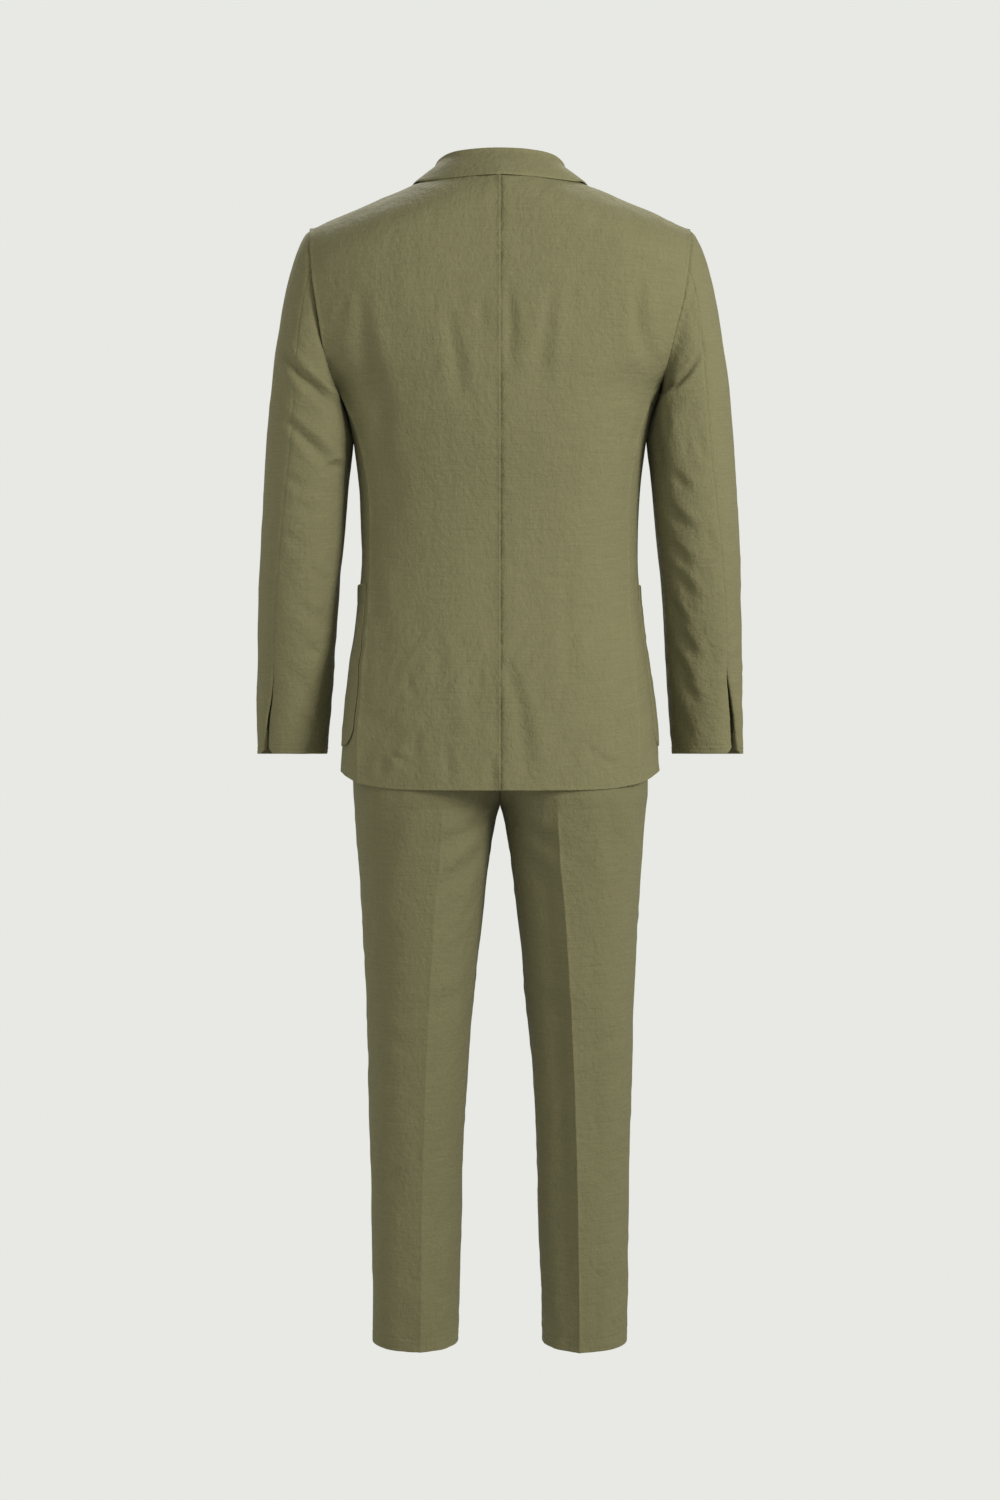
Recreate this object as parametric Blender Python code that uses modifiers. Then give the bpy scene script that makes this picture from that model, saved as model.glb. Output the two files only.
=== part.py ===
"""Two-piece suit in linen, jacket and trousers, filled out with nobody in it.

Metres, +Z up. The garment faces -Y and the wearer's left is +X. The origin is the centre of the
neck opening, level with the shoulder seams' upper ends. Cloth pieces are walls, made as lofts
between sections, because neither garment has a primitive's form.
"""

import math

import bpy
import bmesh
import numpy as np

# Cloth
WALL = 0.0018  # thickness of the cloth with what backs it
BAND_WALL = 0.0026  # thickness of the doubled waistband
SEAM = 0.0003  # gap between two pieces that are sewn together
ROUNDNESS = 2.3  # exponent of the body's sections: 2 is an ellipse, more is squarer
SLEEVE_ROUNDNESS = 2.15
LEG_ROUNDNESS = 2.25

# Jacket
NECK_X, NECK_Z = 0.078, -0.0085  # upper end of the shoulder seam
NECK_BACK_Z = -0.017  # neck seam at the centre back
SHOULDER_X = 0.2268  # outer end of the shoulder seam
SHOULDER_SLOPE = 0.4215  # drop for each metre outwards
SHOULDER_CAP = 0.070  # height over which the body rounds over to the shoulder seam
ARMPIT_Z = -0.270
ARM_GAP = 0.0006  # how far outside the armhole the sleeve starts
ARM_BACK_PSI = math.radians(-40.3)  # where the side panel's back seam leaves the armhole
ARM_FRONT_PSI = math.radians(228.3)  # and its front seam
HEM_SIDE_Z = -0.720
HEM_DIP = 0.0215  # how much lower the hem is at centre back and front
HEM_TURN = 8  # how suddenly it rises at the sides
LEVELS = (-0.30, -0.335, -0.37, -0.41, -0.45, -0.49, -0.53, -0.57, -0.61, -0.65, -0.69)
NECK_CELLS, SHOULDER_CELLS, ARM_CELLS, SIDE_CELLS = 4, 8, 8, 6

# Sections of the jacket's body: height, half width, depth behind and before the shoulder seams.
BODY = {
    "z": (0.03, -0.07, -0.15, -0.20, -0.235, -0.27, -0.30, -0.335, -0.41, -0.46, -0.53, -0.60, -0.66, -0.75),
    "half_width": (0.250, 0.250, 0.250, 0.235, 0.2155, 0.190, 0.181, 0.174, 0.1662, 0.1645, 0.169, 0.1785,
                   0.1865, 0.193),
    "back": (0.095, 0.118, 0.128, 0.130, 0.130, 0.128, 0.126, 0.122, 0.111, 0.108, 0.113, 0.125, 0.130, 0.131),
    "front": (0.070, 0.095, 0.115, 0.125, 0.130, 0.132, 0.132, 0.130, 0.123, 0.120, 0.122, 0.128, 0.132, 0.134),
}
# Armhole and the side panel's seams: height, distance from the centre behind and in front.
SIDE_SEAMS = {
    "z": (-0.068, -0.10, -0.142, -0.20, -0.235, -0.245, -0.27, -0.275),
    "arm_back": (0.2268, 0.2240, 0.218, 0.2055, 0.198, 0.1957, 0.190, 0.1885),
    "arm_front": (0.2268, 0.2170, 0.204, 0.191, 0.1865, 0.1862, 0.190, 0.1885),
}
LOW_SEAMS = {
    "z": (-0.235, -0.30, -0.335, -0.41, -0.50, -0.60, -0.677, -0.75),
    "back": (0.198, 0.169, 0.161, 0.153, 0.155, 0.161, 0.1665, 0.169),
    "front": (0.188, 0.172, 0.166, 0.158, 0.159, 0.166, 0.172, 0.175),
}
# Front edge: height, distance past the centre line on the garment's own side.
FRONT_EDGE = {
    "z": (-0.75, -0.71, -0.69, -0.66, -0.60, -0.53, -0.46, -0.42, -0.40, -0.37, -0.20, NECK_Z, 0.05),
    "x": (0.090, 0.066, 0.052, 0.035, 0.015, 0.002, -0.016, -0.020, -0.020, -0.0125, 0.0299, NECK_X, 0.092),
}
# How deep the right front lies under the left one, deeper where its lapel lies between them.
OVERLAP = {
    "z": (-0.76, -0.43, -0.39, -0.26, -0.20, 0.05),
    "dip": (0.0030, 0.0030, 0.0068, 0.0068, 0.0, 0.0),
}
OVERLAP_FULL, OVERLAP_REACH = 0.024, 0.065  # full depth up to here, none from there outwards

# Lapels: the roll line runs from the front edge up to the shoulder seam's upper end.
ROLL_LOW = np.array((-0.020, -0.400))
ROLL_HIGH = np.array((NECK_X, NECK_Z))
GORGE_INNER, GORGE_OUTER = 0.86, 0.75  # where the lapel's top lies along the roll line
LAPEL = {"along": (0.0, 0.1, 0.4, 0.8, 1.0), "width": (0.004, 0.024, 0.058, 0.080, 0.085)}
LAPEL_LIFT = 0.0031

# Collar: points of its seam, fold and outer edge from the centre back to the notch.
COLLAR = {
    "seam_x": (0.000, 0.030, 0.054, 0.068, 0.0735, 0.0705, 0.0640, 0.0575),
    "seam_y": (0.0890, 0.0820, 0.0610, 0.0330, 0.0030, -0.0400, -0.0720, -0.0880),
    "seam_z": (-0.0140, -0.0130, -0.0105, -0.0080, -0.0070, -0.0170, -0.0385, -0.0600),
    "fold_x": (0.000, 0.030, 0.053, 0.067, 0.0755, 0.0745, 0.0700, 0.0640),
    "fold_y": (0.0680, 0.0630, 0.0480, 0.0260, -0.0020, -0.0420, -0.0800, -0.1000),
    "fold_z": (0.0147, 0.0143, 0.0135, 0.0118, 0.0075, -0.0020, -0.0270, -0.0560),
    "edge_x": (0.000, 0.039, 0.067, 0.086, 0.100, 0.1100, 0.1130, 0.1000),
    "edge_z": (-0.0225, -0.0220, -0.0205, -0.0190, -0.0180, -0.0320, -0.0600, -0.0885),
    "edge_lift": (0.0036, 0.0036, 0.0038, 0.0040, 0.0043, 0.0046, 0.0046, 0.0042),
    "edge_side": (1, 1, 1, 1, 1, -1, -1, -1),
}
COLLAR_WALL = 0.0020
CHEST = np.array((0.0, 0.0, -0.10))  # the collar's edge is lifted off the body away from here
COLLAR_ROLL = 0.0042  # half the width of the roll at the fold

# Sleeve: height, centre and half sizes of its sections, and where the seams lie round it.
SLEEVE = {
    "z": (-0.31, -0.33, -0.42, -0.51, -0.60, -0.66, -0.71),
    "x": (0.2278, 0.2290, 0.2354, 0.2421, 0.2463, 0.2492, 0.2516),
    "y": (0.002, 0.001, -0.001, -0.0085, -0.0205, -0.029, -0.035),
    "half_width": (0.0504, 0.0507, 0.0496, 0.0473, 0.0454, 0.0433, 0.0412),
    "half_depth": (0.0770, 0.0765, 0.0725, 0.0675, 0.0600, 0.0545, 0.0515),
    "back_seam": (18, 19, 24, 28, 31, 42, 51),
    "front_seam": (215, 215, 215, 215, 215, 215, 215),
}
CAP_STEPS = (0.0, 0.12, 0.26, 0.42, 0.60, 0.80)
CAP_START, CAP_END = 0.34, 1.14  # how far the cap runs on in the armhole's and the arm's direction
SLEEVE_LEVELS = (-0.33, -0.365, -0.40, -0.44, -0.48, -0.52, -0.56, -0.597, -0.63, -0.665, -0.699)
VENT_TOP_Z = -0.597
VENT_GAP = 0.0020  # extra gap at the cuff, on each side of the sleeve's vent
UPPER_VENT_CORNER, UNDER_VENT_CORNER = 0.003, 0.007  # how far the cuff rises at the vent

# Patch pockets lie over the seam between the side panel and the front.
POCKET_TOP, POCKET_BOTTOM = 5, 10  # rows of LEVELS
POCKET_SIDE_CELL, POCKET_FRONT_CELL = 1, 4  # rear edge on the side panel, forward one on the front
POCKET_GAP = 0.0007
POCKET_CORNER = 0.010

# Trousers: height, inner and outer reach from the centre, depth behind and before.
LEG = {
    "z": (-0.46, -0.505, -0.56, -0.61, -0.66, -0.69, -0.72, -0.745, -0.763, -0.805, -0.889, -0.967, -1.071,
          -1.201, -1.286, -1.42),
    "inner": (-0.146, -0.150, -0.158, -0.164, -0.170, -0.110, -0.052, -0.016, 0.0008, 0.0095, 0.0204, 0.0290,
              0.0384, 0.0451, 0.0475, 0.0508),
    "outer": (0.146, 0.150, 0.158, 0.164, 0.170, 0.1735, 0.1760, 0.1762, 0.1745, 0.1712, 0.1650, 0.1610,
              0.1580, 0.1550, 0.1537, 0.1520),
    "back": (0.091, 0.098, 0.107, 0.114, 0.1175, 0.1180, 0.1175, 0.115, 0.112, 0.104, 0.092, 0.085, 0.077,
             0.068, 0.064, 0.060),
    "front": (0.094, 0.099, 0.105, 0.109, 0.110, 0.109, 0.107, 0.104, 0.101, 0.096, 0.086, 0.080, 0.073,
              0.067, 0.065, 0.063),
    "crease_x": (0.072, 0.072, 0.072, 0.071, 0.070, 0.070, 0.070, 0.070, 0.070, 0.0715, 0.079, 0.084, 0.0893,
                 0.0935, 0.095, 0.0965),
    "crease_rise": (0.0, 0.0, 0.0, 0.0, 0.0, 0.0005, 0.001, 0.0015, 0.002, 0.003, 0.004, 0.0045, 0.005,
                    0.005, 0.005, 0.005),
}
FORK_Z = -0.763
TROUSER_HEM_Z = -1.404
LEG_LEVELS = (-0.505, -0.56, -0.61, -0.66, -0.69, -0.715, -0.735, -0.752, FORK_Z, -0.80, -0.85, -0.90, -0.96,
              -1.02, -1.08, -1.14, -1.20, -1.27, -1.34, TROUSER_HEM_Z)
BAND_LEVELS = (-0.467, -0.486, -0.505)
CREASE_CELLS, OUTER_CELLS = 5, 5  # columns before and after a pressed crease
FLY_CELLS, FLY_LEVELS = 2, 5
FLY_GAP = 0.0007

# Buttons
BUTTON_RADIUS, BUTTON_THICK, BUTTON_GAP = 0.0100, 0.0032, 0.0011
UPPER_BUTTON = (0.000, -0.420)
LOWER_BUTTON = (-0.024, -0.530)
WAIST_BUTTON_RADIUS = 0.0080

# The largest folds: which garment part, two ends on the back view, half width, depth.
FOLDS = {
    "part": ("body", "body", "body", "sleeve", "sleeve", "sleeve", "leg", "leg"),
    "x_from": (0.172, 0.061, 0.020, 0.262, 0.255, 0.190, 0.020, 0.030),
    "z_from": (-0.150, -0.150, -0.580, -0.210, -0.290, -0.430, -0.790, -0.860),
    "x_to": (0.150, 0.048, 0.050, 0.205, 0.212, 0.225, 0.080, 0.070),
    "z_to": (-0.290, -0.310, -0.720, -0.268, -0.330, -0.455, -0.830, -0.890),
    "half_width": (0.016, 0.018, 0.018, 0.014, 0.014, 0.012, 0.014, 0.013),
    "depth": (0.0050, 0.0030, 0.0030, 0.0050, 0.0030, 0.0025, 0.0035, 0.0025),
}

LINEN = (0.162, 0.150, 0.072, 1.0)
HORN = (0.045, 0.030, 0.016, 1.0)


def read(table, column, z, key="z"):
    """The value of a table's column at z, on a smooth curve through its rows."""
    at, values = np.array(table[key], float), np.array(table[column], float)
    if at[0] > at[-1]:
        at, values = at[::-1], values[::-1]
    slopes = np.diff(values) / np.diff(at)
    ends = np.zeros(len(at))
    same = slopes[1:] * slopes[:-1] > 0
    ends[1:-1][same] = 2 * slopes[1:][same] * slopes[:-1][same] / (slopes[1:] + slopes[:-1])[same]
    ends[0], ends[-1] = slopes[0], slopes[-1]
    z = min(max(z, at[0]), at[-1])
    i = min(int(np.searchsorted(at, z, side="right")) - 1, len(at) - 2)
    h = at[i + 1] - at[i]
    t = (z - at[i]) / h
    return ((1 + 2 * t) * (1 - t) ** 2 * values[i] + t * (1 - t) ** 2 * h * ends[i]
            + t * t * (3 - 2 * t) * values[i + 1] + t * t * (t - 1) * h * ends[i + 1])


def unit(vectors):
    """Vectors, or a grid of them, scaled to length 1."""
    return vectors / np.maximum(np.linalg.norm(vectors, axis=-1, keepdims=True), 1e-12)


def power(value, exponent):
    """A power that keeps the value's sign."""
    return math.copysign(abs(value) ** exponent, value)


def smooth(t):
    """0 below 0, 1 above 1, and a soft step between."""
    t = min(max(t, 0.0), 1.0)
    return t * t * (3 - 2 * t)


# ---- the jacket's body as a surface ----

def shoulder_z(x):
    """Height of the shoulder seam's line."""
    return NECK_Z - SHOULDER_SLOPE * (abs(x) - NECK_X)


def body_point(x, z, side):
    """The jacket's surface at x and z: side is 1 behind the shoulder seams and -1 before them."""
    width = read(BODY, "half_width", z)
    depth = read(BODY, "back" if side > 0 else "front", z)
    across = max(0.0, 1 - (abs(x) / width) ** ROUNDNESS) ** (1 / ROUNDNESS)
    over = 1 - min(max(shoulder_z(x) - z, 0.0) / SHOULDER_CAP, 1.0)
    return (x, side * depth * across * math.sqrt(1 - over * over), z)


def front_point(x, z, right):
    """The front's surface, with the right front lying lower where the left one covers it."""
    x, y, z = body_point(x, z, -1)
    if right:
        y += read(OVERLAP, "dip", z) * smooth((OVERLAP_REACH - x) / (OVERLAP_REACH - OVERLAP_FULL))
    return (x, y, z)


def body_angle(x, z, side):
    """Angle round the body's section, from 0 at the centre back to pi at the centre front."""
    ratio = min(abs(x) / read(BODY, "half_width", z), 1.0)
    angle = math.asin(ratio ** (ROUNDNESS / 2))
    return angle if side > 0 else math.pi - angle


def at_angle(angle, z):
    """The jacket's surface at an angle round the section, below the armpit."""
    x = read(BODY, "half_width", z) * power(math.sin(angle), 2 / ROUNDNESS)
    depth = read(BODY, "back" if math.cos(angle) > 0 else "front", z)
    return (x, depth * power(math.cos(angle), 2 / ROUNDNESS), z)


def hem_z(angle):
    """Height of the jacket's hem round the body."""
    return HEM_SIDE_Z - HEM_DIP * (1 - abs(math.sin(angle)) ** HEM_TURN)


def armhole_point(psi):
    """A point of the armhole: 90 degrees is the shoulder, 0 the back and 180 the front."""
    top = shoulder_z(SHOULDER_X)
    z = (top + ARMPIT_Z) / 2 + (top - ARMPIT_Z) / 2 * math.sin(psi)
    side = 1 if math.cos(psi) >= 0 else -1
    x = read(SIDE_SEAMS, "arm_back" if side > 0 else "arm_front", z)
    if math.sin(psi) > 1 - 1e-9:
        return (SHOULDER_X, 0.0, top)
    return body_point(min(x, read(BODY, "half_width", z)), z, side)


BACK_PSI = np.linspace(math.pi / 2, ARM_BACK_PSI, ARM_CELLS + 1)
FRONT_PSI = np.linspace(math.pi / 2, ARM_FRONT_PSI, ARM_CELLS + 1)
LOW_PSI = np.linspace(ARM_BACK_PSI + 2 * math.pi, ARM_FRONT_PSI, SIDE_CELLS + 1)


def edge_points(psis, side):
    """The outer edge of the back or front: the armhole, then the side panel's seam."""
    points = [armhole_point(psi) for psi in psis]
    for z in LEVELS:
        points.append(body_point(read(LOW_SEAMS, "back" if side > 0 else "front", z), z, side))
    x = read(LOW_SEAMS, "back" if side > 0 else "front", HEM_SIDE_Z)
    points.append(body_point(x, hem_z(body_angle(x, HEM_SIDE_Z, side)), side))
    return points


def row_fade(row):
    """How much a row still follows the neck and shoulder seams."""
    return max(0.0, 1 - (row / ARM_CELLS) ** 1.2)


def shoulder_xs():
    """Distances from the centre of the points along the shoulder seam."""
    return np.linspace(NECK_X, SHOULDER_X, SHOULDER_CELLS + 1)


def back_grid():
    """The left back, rows from the neck and shoulder down to the hem."""
    tops = list(np.linspace(0, NECK_X, NECK_CELLS + 1))[:-1] + list(shoulder_xs())
    top_z = [shoulder_z(x) if x >= NECK_X else NECK_BACK_Z + (NECK_Z - NECK_BACK_Z) * (x / NECK_X) ** 2
             for x in tops]
    edge = edge_points(BACK_PSI, 1)
    grid = []
    for row, (edge_x, _, edge_z) in enumerate(edge):
        line = []
        for x_top, z_top in zip(tops, top_z):
            x = x_top / SHOULDER_X * edge_x
            z = edge_z + (z_top - edge[0][2]) * row_fade(row)
            if row == len(edge) - 1:
                z = hem_z(body_angle(x, z, 1))
            line.append(body_point(x, z, 1))
        line[-1] = edge[row]
        grid.append(line)
    return np.array(grid)


def front_grid(right):
    """A front, rows from the shoulder down to the hem, columns from its free edge outwards."""
    edge = edge_points(FRONT_PSI, -1)
    grid = []
    for row, (edge_x, _, edge_z) in enumerate(edge):
        z_free = edge_z + (NECK_Z - edge[0][2]) * row_fade(row)
        last = row == len(edge) - 1
        free = read(FRONT_EDGE, "x", HEM_SIDE_Z - HEM_DIP if last else z_free)
        line = []
        for x_top in shoulder_xs():
            across = (x_top - NECK_X) / (SHOULDER_X - NECK_X)
            x = free + (edge_x - free) * across
            z = edge_z + (shoulder_z(x_top) - edge[0][2]) * row_fade(row)
            if last:
                z = hem_z(body_angle(x, z, -1))
            line.append(front_point(x, z, right))
        line[-1] = edge[row]
        grid.append(line)
    return np.array(grid)


def side_grid():
    """The left side panel, rows from the armhole down, columns from the back seam forwards."""
    grid = [[armhole_point(psi) for psi in LOW_PSI]]
    shares = np.linspace(0, 1, SIDE_CELLS + 1)
    for z in LEVELS + (HEM_SIDE_Z,):
        start = body_angle(read(LOW_SEAMS, "back", z), z, 1)
        end = body_angle(read(LOW_SEAMS, "front", z), z, -1)
        line = []
        for share in shares:
            angle = start + (end - start) * share
            line.append(at_angle(angle, hem_z(angle) if z == HEM_SIDE_Z else z))
        grid.append(line)
    grid[-1][0] = edge_points(BACK_PSI, 1)[-1]
    grid[-1][-1] = edge_points(FRONT_PSI, -1)[-1]
    return np.array(grid)


# ---- sleeves ----

def sleeve_point(psi, z):
    """The sleeve's surface at an angle round it: 0 is behind, 90 degrees outwards."""
    x = read(SLEEVE, "x", z) + read(SLEEVE, "half_width", z) * power(math.sin(psi), 2 / SLEEVE_ROUNDNESS)
    y = read(SLEEVE, "y", z) + read(SLEEVE, "half_depth", z) * power(math.cos(psi), 2 / SLEEVE_ROUNDNESS)
    return np.array((x, y, z))


def sleeve_column(arm_psi, psis):
    """One column of a sleeve: over the cap from the armhole, then down the arm."""
    start = np.array(armhole_point(arm_psi)) + (ARM_GAP, 0, 0)
    end = sleeve_point(psis[0], SLEEVE_LEVELS[0])
    reach = np.linalg.norm(end - start)
    high = (1 + math.sin(arm_psi)) / 2
    leave = high * np.array((0.86, 0, -0.51)) + (1 - high) * np.array((0.02, 0, -1.0))
    leave = unit(leave) * reach * CAP_START
    arrive = unit(sleeve_point(psis[0], SLEEVE_LEVELS[0] - 0.03) - end) * reach * CAP_END
    column = []
    for t in CAP_STEPS:
        column.append((1 + 2 * t) * (1 - t) ** 2 * start + t * (1 - t) ** 2 * leave
                      + t * t * (3 - 2 * t) * end + t * t * (t - 1) * arrive)
    return column + [sleeve_point(psi, z) for psi, z in zip(psis, SLEEVE_LEVELS)]


def sleeve_grid(arm_psis, under):
    """The upper or under sleeve, columns between its two seams."""
    columns = []
    for share, arm_psi in zip(np.linspace(0, 1, len(arm_psis)), arm_psis):
        psis = []
        for z in SLEEVE_LEVELS:
            start, end = read(SLEEVE, "back_seam", z), read(SLEEVE, "front_seam", z)
            if under:
                start, end = end, start + 360
            psis.append(math.radians(start + (end - start) * share))
        columns.append(sleeve_column(arm_psi, psis))
    return np.array(columns).transpose(1, 0, 2)


# ---- trousers ----

def leg_point(angle, z):
    """The left leg's surface: 0 is behind, 90 degrees outwards, -90 the inner seam."""
    inner, outer = read(LEG, "inner", z), read(LEG, "outer", z)
    x = (inner + outer) / 2 + (outer - inner) / 2 * power(math.sin(angle), 2 / LEG_ROUNDNESS)
    depth = read(LEG, "back" if math.cos(angle) > 0 else "front", z)
    return (x, depth * power(math.cos(angle), 2 / LEG_ROUNDNESS), z)


def leg_angle(x, z):
    """Angle round a leg's back at x, or at its inner seam where x is further in."""
    inner, outer = read(LEG, "inner", z), read(LEG, "outer", z)
    ratio = (2 * x - inner - outer) / (outer - inner)
    return math.asin(power(min(max(ratio, -1.0), 1.0), LEG_ROUNDNESS / 2))


def leg_row(z, side):
    """One row of a leg's back or front, from the centre seam or inner seam to the side seam."""
    start, crease = leg_angle(0.0, z), leg_angle(read(LEG, "crease_x", z), z)
    angles = list(np.linspace(start, crease, CREASE_CELLS + 1))
    angles += list(np.linspace(crease, math.pi / 2, OUTER_CELLS + 1))[1:]
    row = []
    for column, angle in enumerate(angles):
        x, y, height = leg_point(angle if side > 0 else math.pi - angle, z)
        if column == CREASE_CELLS:
            y += side * read(LEG, "crease_rise", z)
        row.append((x, y, height))
    return row


def leg_grid(side, levels=LEG_LEVELS):
    return np.array([leg_row(z, side) for z in levels])


# ---- from surfaces to walls ----

def grid_normals(grid, outwards_from):
    """Normals of a grid of points, on the side away from an axis at x."""
    normals = unit(np.cross(np.gradient(grid, axis=0), np.gradient(grid, axis=1)))
    away = grid - np.array((outwards_from, 0, 0)) * np.ones_like(grid)
    away[..., 2] = 0
    return normals if (normals * away).sum() > 0 else -normals


def key(point):
    return tuple(np.round(point, 6))


def shared_normals(grids, outwards_from=0.0, flat_centre=False):
    """Normals of pieces that are sewn together, the same on both sides of each seam."""
    own = [grid_normals(grid, outwards_from) for grid in grids]
    total = {}
    for grid, normals in zip(grids, own):
        for point, normal in zip(grid.reshape(-1, 3), normals.reshape(-1, 3)):
            if flat_centre and abs(point[0]) < 1e-6:
                normal = normal * (0, 1, 1)
            total[key(point)] = total.get(key(point), 0) + normal
    return [unit(np.array([[total[key(point)] for point in row] for row in grid])) for grid in grids]


def fold_in(grid, normals, part):
    """The grid with the part's largest folds pressed in, on its back."""
    folded = grid.copy()
    for row, column in np.ndindex(grid.shape[:2]):
        x, y, z = grid[row, column]
        facing = smooth((normals[row, column][1] - 0.05) / 0.4)
        for i, name in enumerate(FOLDS["part"]):
            if name != part:
                continue
            start = np.array((FOLDS["x_from"][i], FOLDS["z_from"][i]))
            end = np.array((FOLDS["x_to"][i], FOLDS["z_to"][i]))
            run = end - start
            along = float(np.dot((x, z) - start, run) / np.dot(run, run))
            nearest = start + run * min(max(along, 0.0), 1.0)
            off = np.linalg.norm((x, z) - nearest) / FOLDS["half_width"][i]
            fade = math.sin(math.pi * min(max(along, 0.05), 0.95)) ** 0.5
            depth = FOLDS["depth"][i] * math.exp(-off * off) * fade * facing
            folded[row, column] -= depth * normals[row, column]
    return folded


def inset(grid, first_gaps=None, last_gaps=None):
    """The grid with its edges drawn back by half a seam, and by more along a vent."""
    drawn = grid.copy()
    drawn[0] += unit(grid[1] - grid[0]) * SEAM / 2
    drawn[-1] += unit(grid[-2] - grid[-1]) * SEAM / 2
    first = SEAM / 2 if first_gaps is None else first_gaps[:, None]
    last = SEAM / 2 if last_gaps is None else last_gaps[:, None]
    drawn[:, 0] += unit(grid[:, 1] - grid[:, 0]) * first
    drawn[:, -1] += unit(grid[:, -2] - grid[:, -1]) * last
    return drawn


def flipped(grid):
    """The same on the wearer's right."""
    return grid * (-1, 1, 1)


def material(name, colour, roughness):
    made = bpy.data.materials.new(name)
    made.use_nodes = True
    shader = made.node_tree.nodes["Principled BSDF"]
    shader.inputs["Base Color"].default_value = colour
    shader.inputs["Roughness"].default_value = roughness
    shader.inputs["Metallic"].default_value = 0.0
    return made


def wall(name, outer, normals, finish, thickness=WALL, least_x=None):
    """A closed wall of cloth: the outer points, the same points moved in, and the rims between."""
    inner = outer - normals * thickness
    if least_x is not None:
        sign = math.copysign(1, outer[..., 0].mean())
        for points in (outer, inner):
            points[..., 0] = sign * np.maximum(sign * points[..., 0], least_x)
    rows, columns = outer.shape[:2]
    bm = bmesh.new()
    skins = [[[bm.verts.new(point) for point in row] for row in points] for points in (outer, inner)]
    for row in range(rows - 1):
        for column in range(columns - 1):
            for skin in skins:
                bm.faces.new((skin[row][column], skin[row][column + 1],
                              skin[row + 1][column + 1], skin[row + 1][column]))
    rim = [(0, c) for c in range(columns)] + [(r, columns - 1) for r in range(1, rows)]
    rim += [(rows - 1, c) for c in range(columns - 2, -1, -1)] + [(r, 0) for r in range(rows - 2, 0, -1)]
    for (r1, c1), (r2, c2) in zip(rim, rim[1:] + rim[:1]):
        bm.faces.new((skins[0][r1][c1], skins[0][r2][c2], skins[1][r2][c2], skins[1][r1][c1]))
    bmesh.ops.recalc_face_normals(bm, faces=bm.faces)
    if bm.calc_volume(signed=True) < 0:
        bmesh.ops.reverse_faces(bm, faces=bm.faces)
    mesh = bpy.data.meshes.new(name)
    bm.to_mesh(mesh)
    bm.free()
    mesh.materials.append(finish)
    mesh.shade_smooth()
    piece = bpy.data.objects.new(name, mesh)
    SUIT.objects.link(piece)
    return piece


def button(name, x, z, radius, surface, finish):
    """A flat sewn button, standing just off the cloth that carries it."""
    bpy.ops.mesh.primitive_cylinder_add(vertices=24, radius=radius, depth=BUTTON_THICK)
    disc = bpy.context.object
    disc.name = disc.data.name = name
    disc.rotation_euler = (math.pi / 2, 0, 0)
    disc.location = (x, surface - BUTTON_GAP - BUTTON_THICK / 2, z)
    edge = disc.modifiers.new("rounded", "BEVEL")
    edge.width = BUTTON_THICK / 4
    edge.segments = 1
    disc.data.materials.append(finish)
    for collection in list(disc.users_collection):
        collection.objects.unlink(disc)
    SUIT.objects.link(disc)


# ---- the pieces ----

def jacket_body(linen):
    """Backs, side panels, fronts and the patch pockets on them."""
    left = [back_grid(), side_grid(), front_grid(False)]
    right = left[:2] + [front_grid(True)]
    for suffix, grids in (("left", left), ("right", right)):
        turn = flipped if suffix == "right" else np.copy
        normals = shared_normals(grids, flat_centre=True)
        folded = [fold_in(grid, normal, "body") for grid, normal in zip(grids, normals)]
        for name, grid, normal in zip(("back", "side", "front"), folded, normals):
            wall(f"{name}_{suffix}", turn(inset(grid)), turn(normal), linen)
        rows = slice(POCKET_TOP + 1, POCKET_BOTTOM + 2)
        front_rows = slice(ARM_CELLS + 1 + POCKET_TOP, ARM_CELLS + 2 + POCKET_BOTTOM)
        side_part = slice(POCKET_SIDE_CELL, SIDE_CELLS)
        front_part = slice(None, SHOULDER_CELLS - POCKET_FRONT_CELL - 1, -1)
        points = np.concatenate((folded[1][rows, side_part], folded[2][front_rows, front_part]), axis=1)
        faces = np.concatenate((normals[1][rows, side_part], normals[2][front_rows, front_part]), axis=1)
        points = points + faces * (WALL + POCKET_GAP)
        for column in (0, -1):
            points[-1, column, 2] += POCKET_CORNER
        wall(f"pocket_{suffix}", turn(points), turn(faces), linen)


def lapels(linen):
    """Both lapels, each turned over at its roll line and lying on its front."""
    run = ROLL_HIGH - ROLL_LOW
    across = np.array((run[1], -run[0])) / np.linalg.norm(run)
    for suffix, turn in (("left", np.copy), ("right", flipped)):
        grid = []
        for share in np.linspace(0, 1, 11):
            line = []
            for out in np.linspace(0, 1, 5):
                along = (GORGE_INNER + (GORGE_OUTER - GORGE_INNER) * out) * share
                width = read(LAPEL, "width", share, "along")
                x, z = ROLL_LOW + run * along + across * width * out
                line.append(front_point(x, z, suffix == "right"))
            grid.append(line)
        grid = np.array(grid)
        normals = grid_normals(grid, 0.0)
        wall(f"lapel_{suffix}", turn(grid + normals * LAPEL_LIFT), turn(normals), linen)


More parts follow.
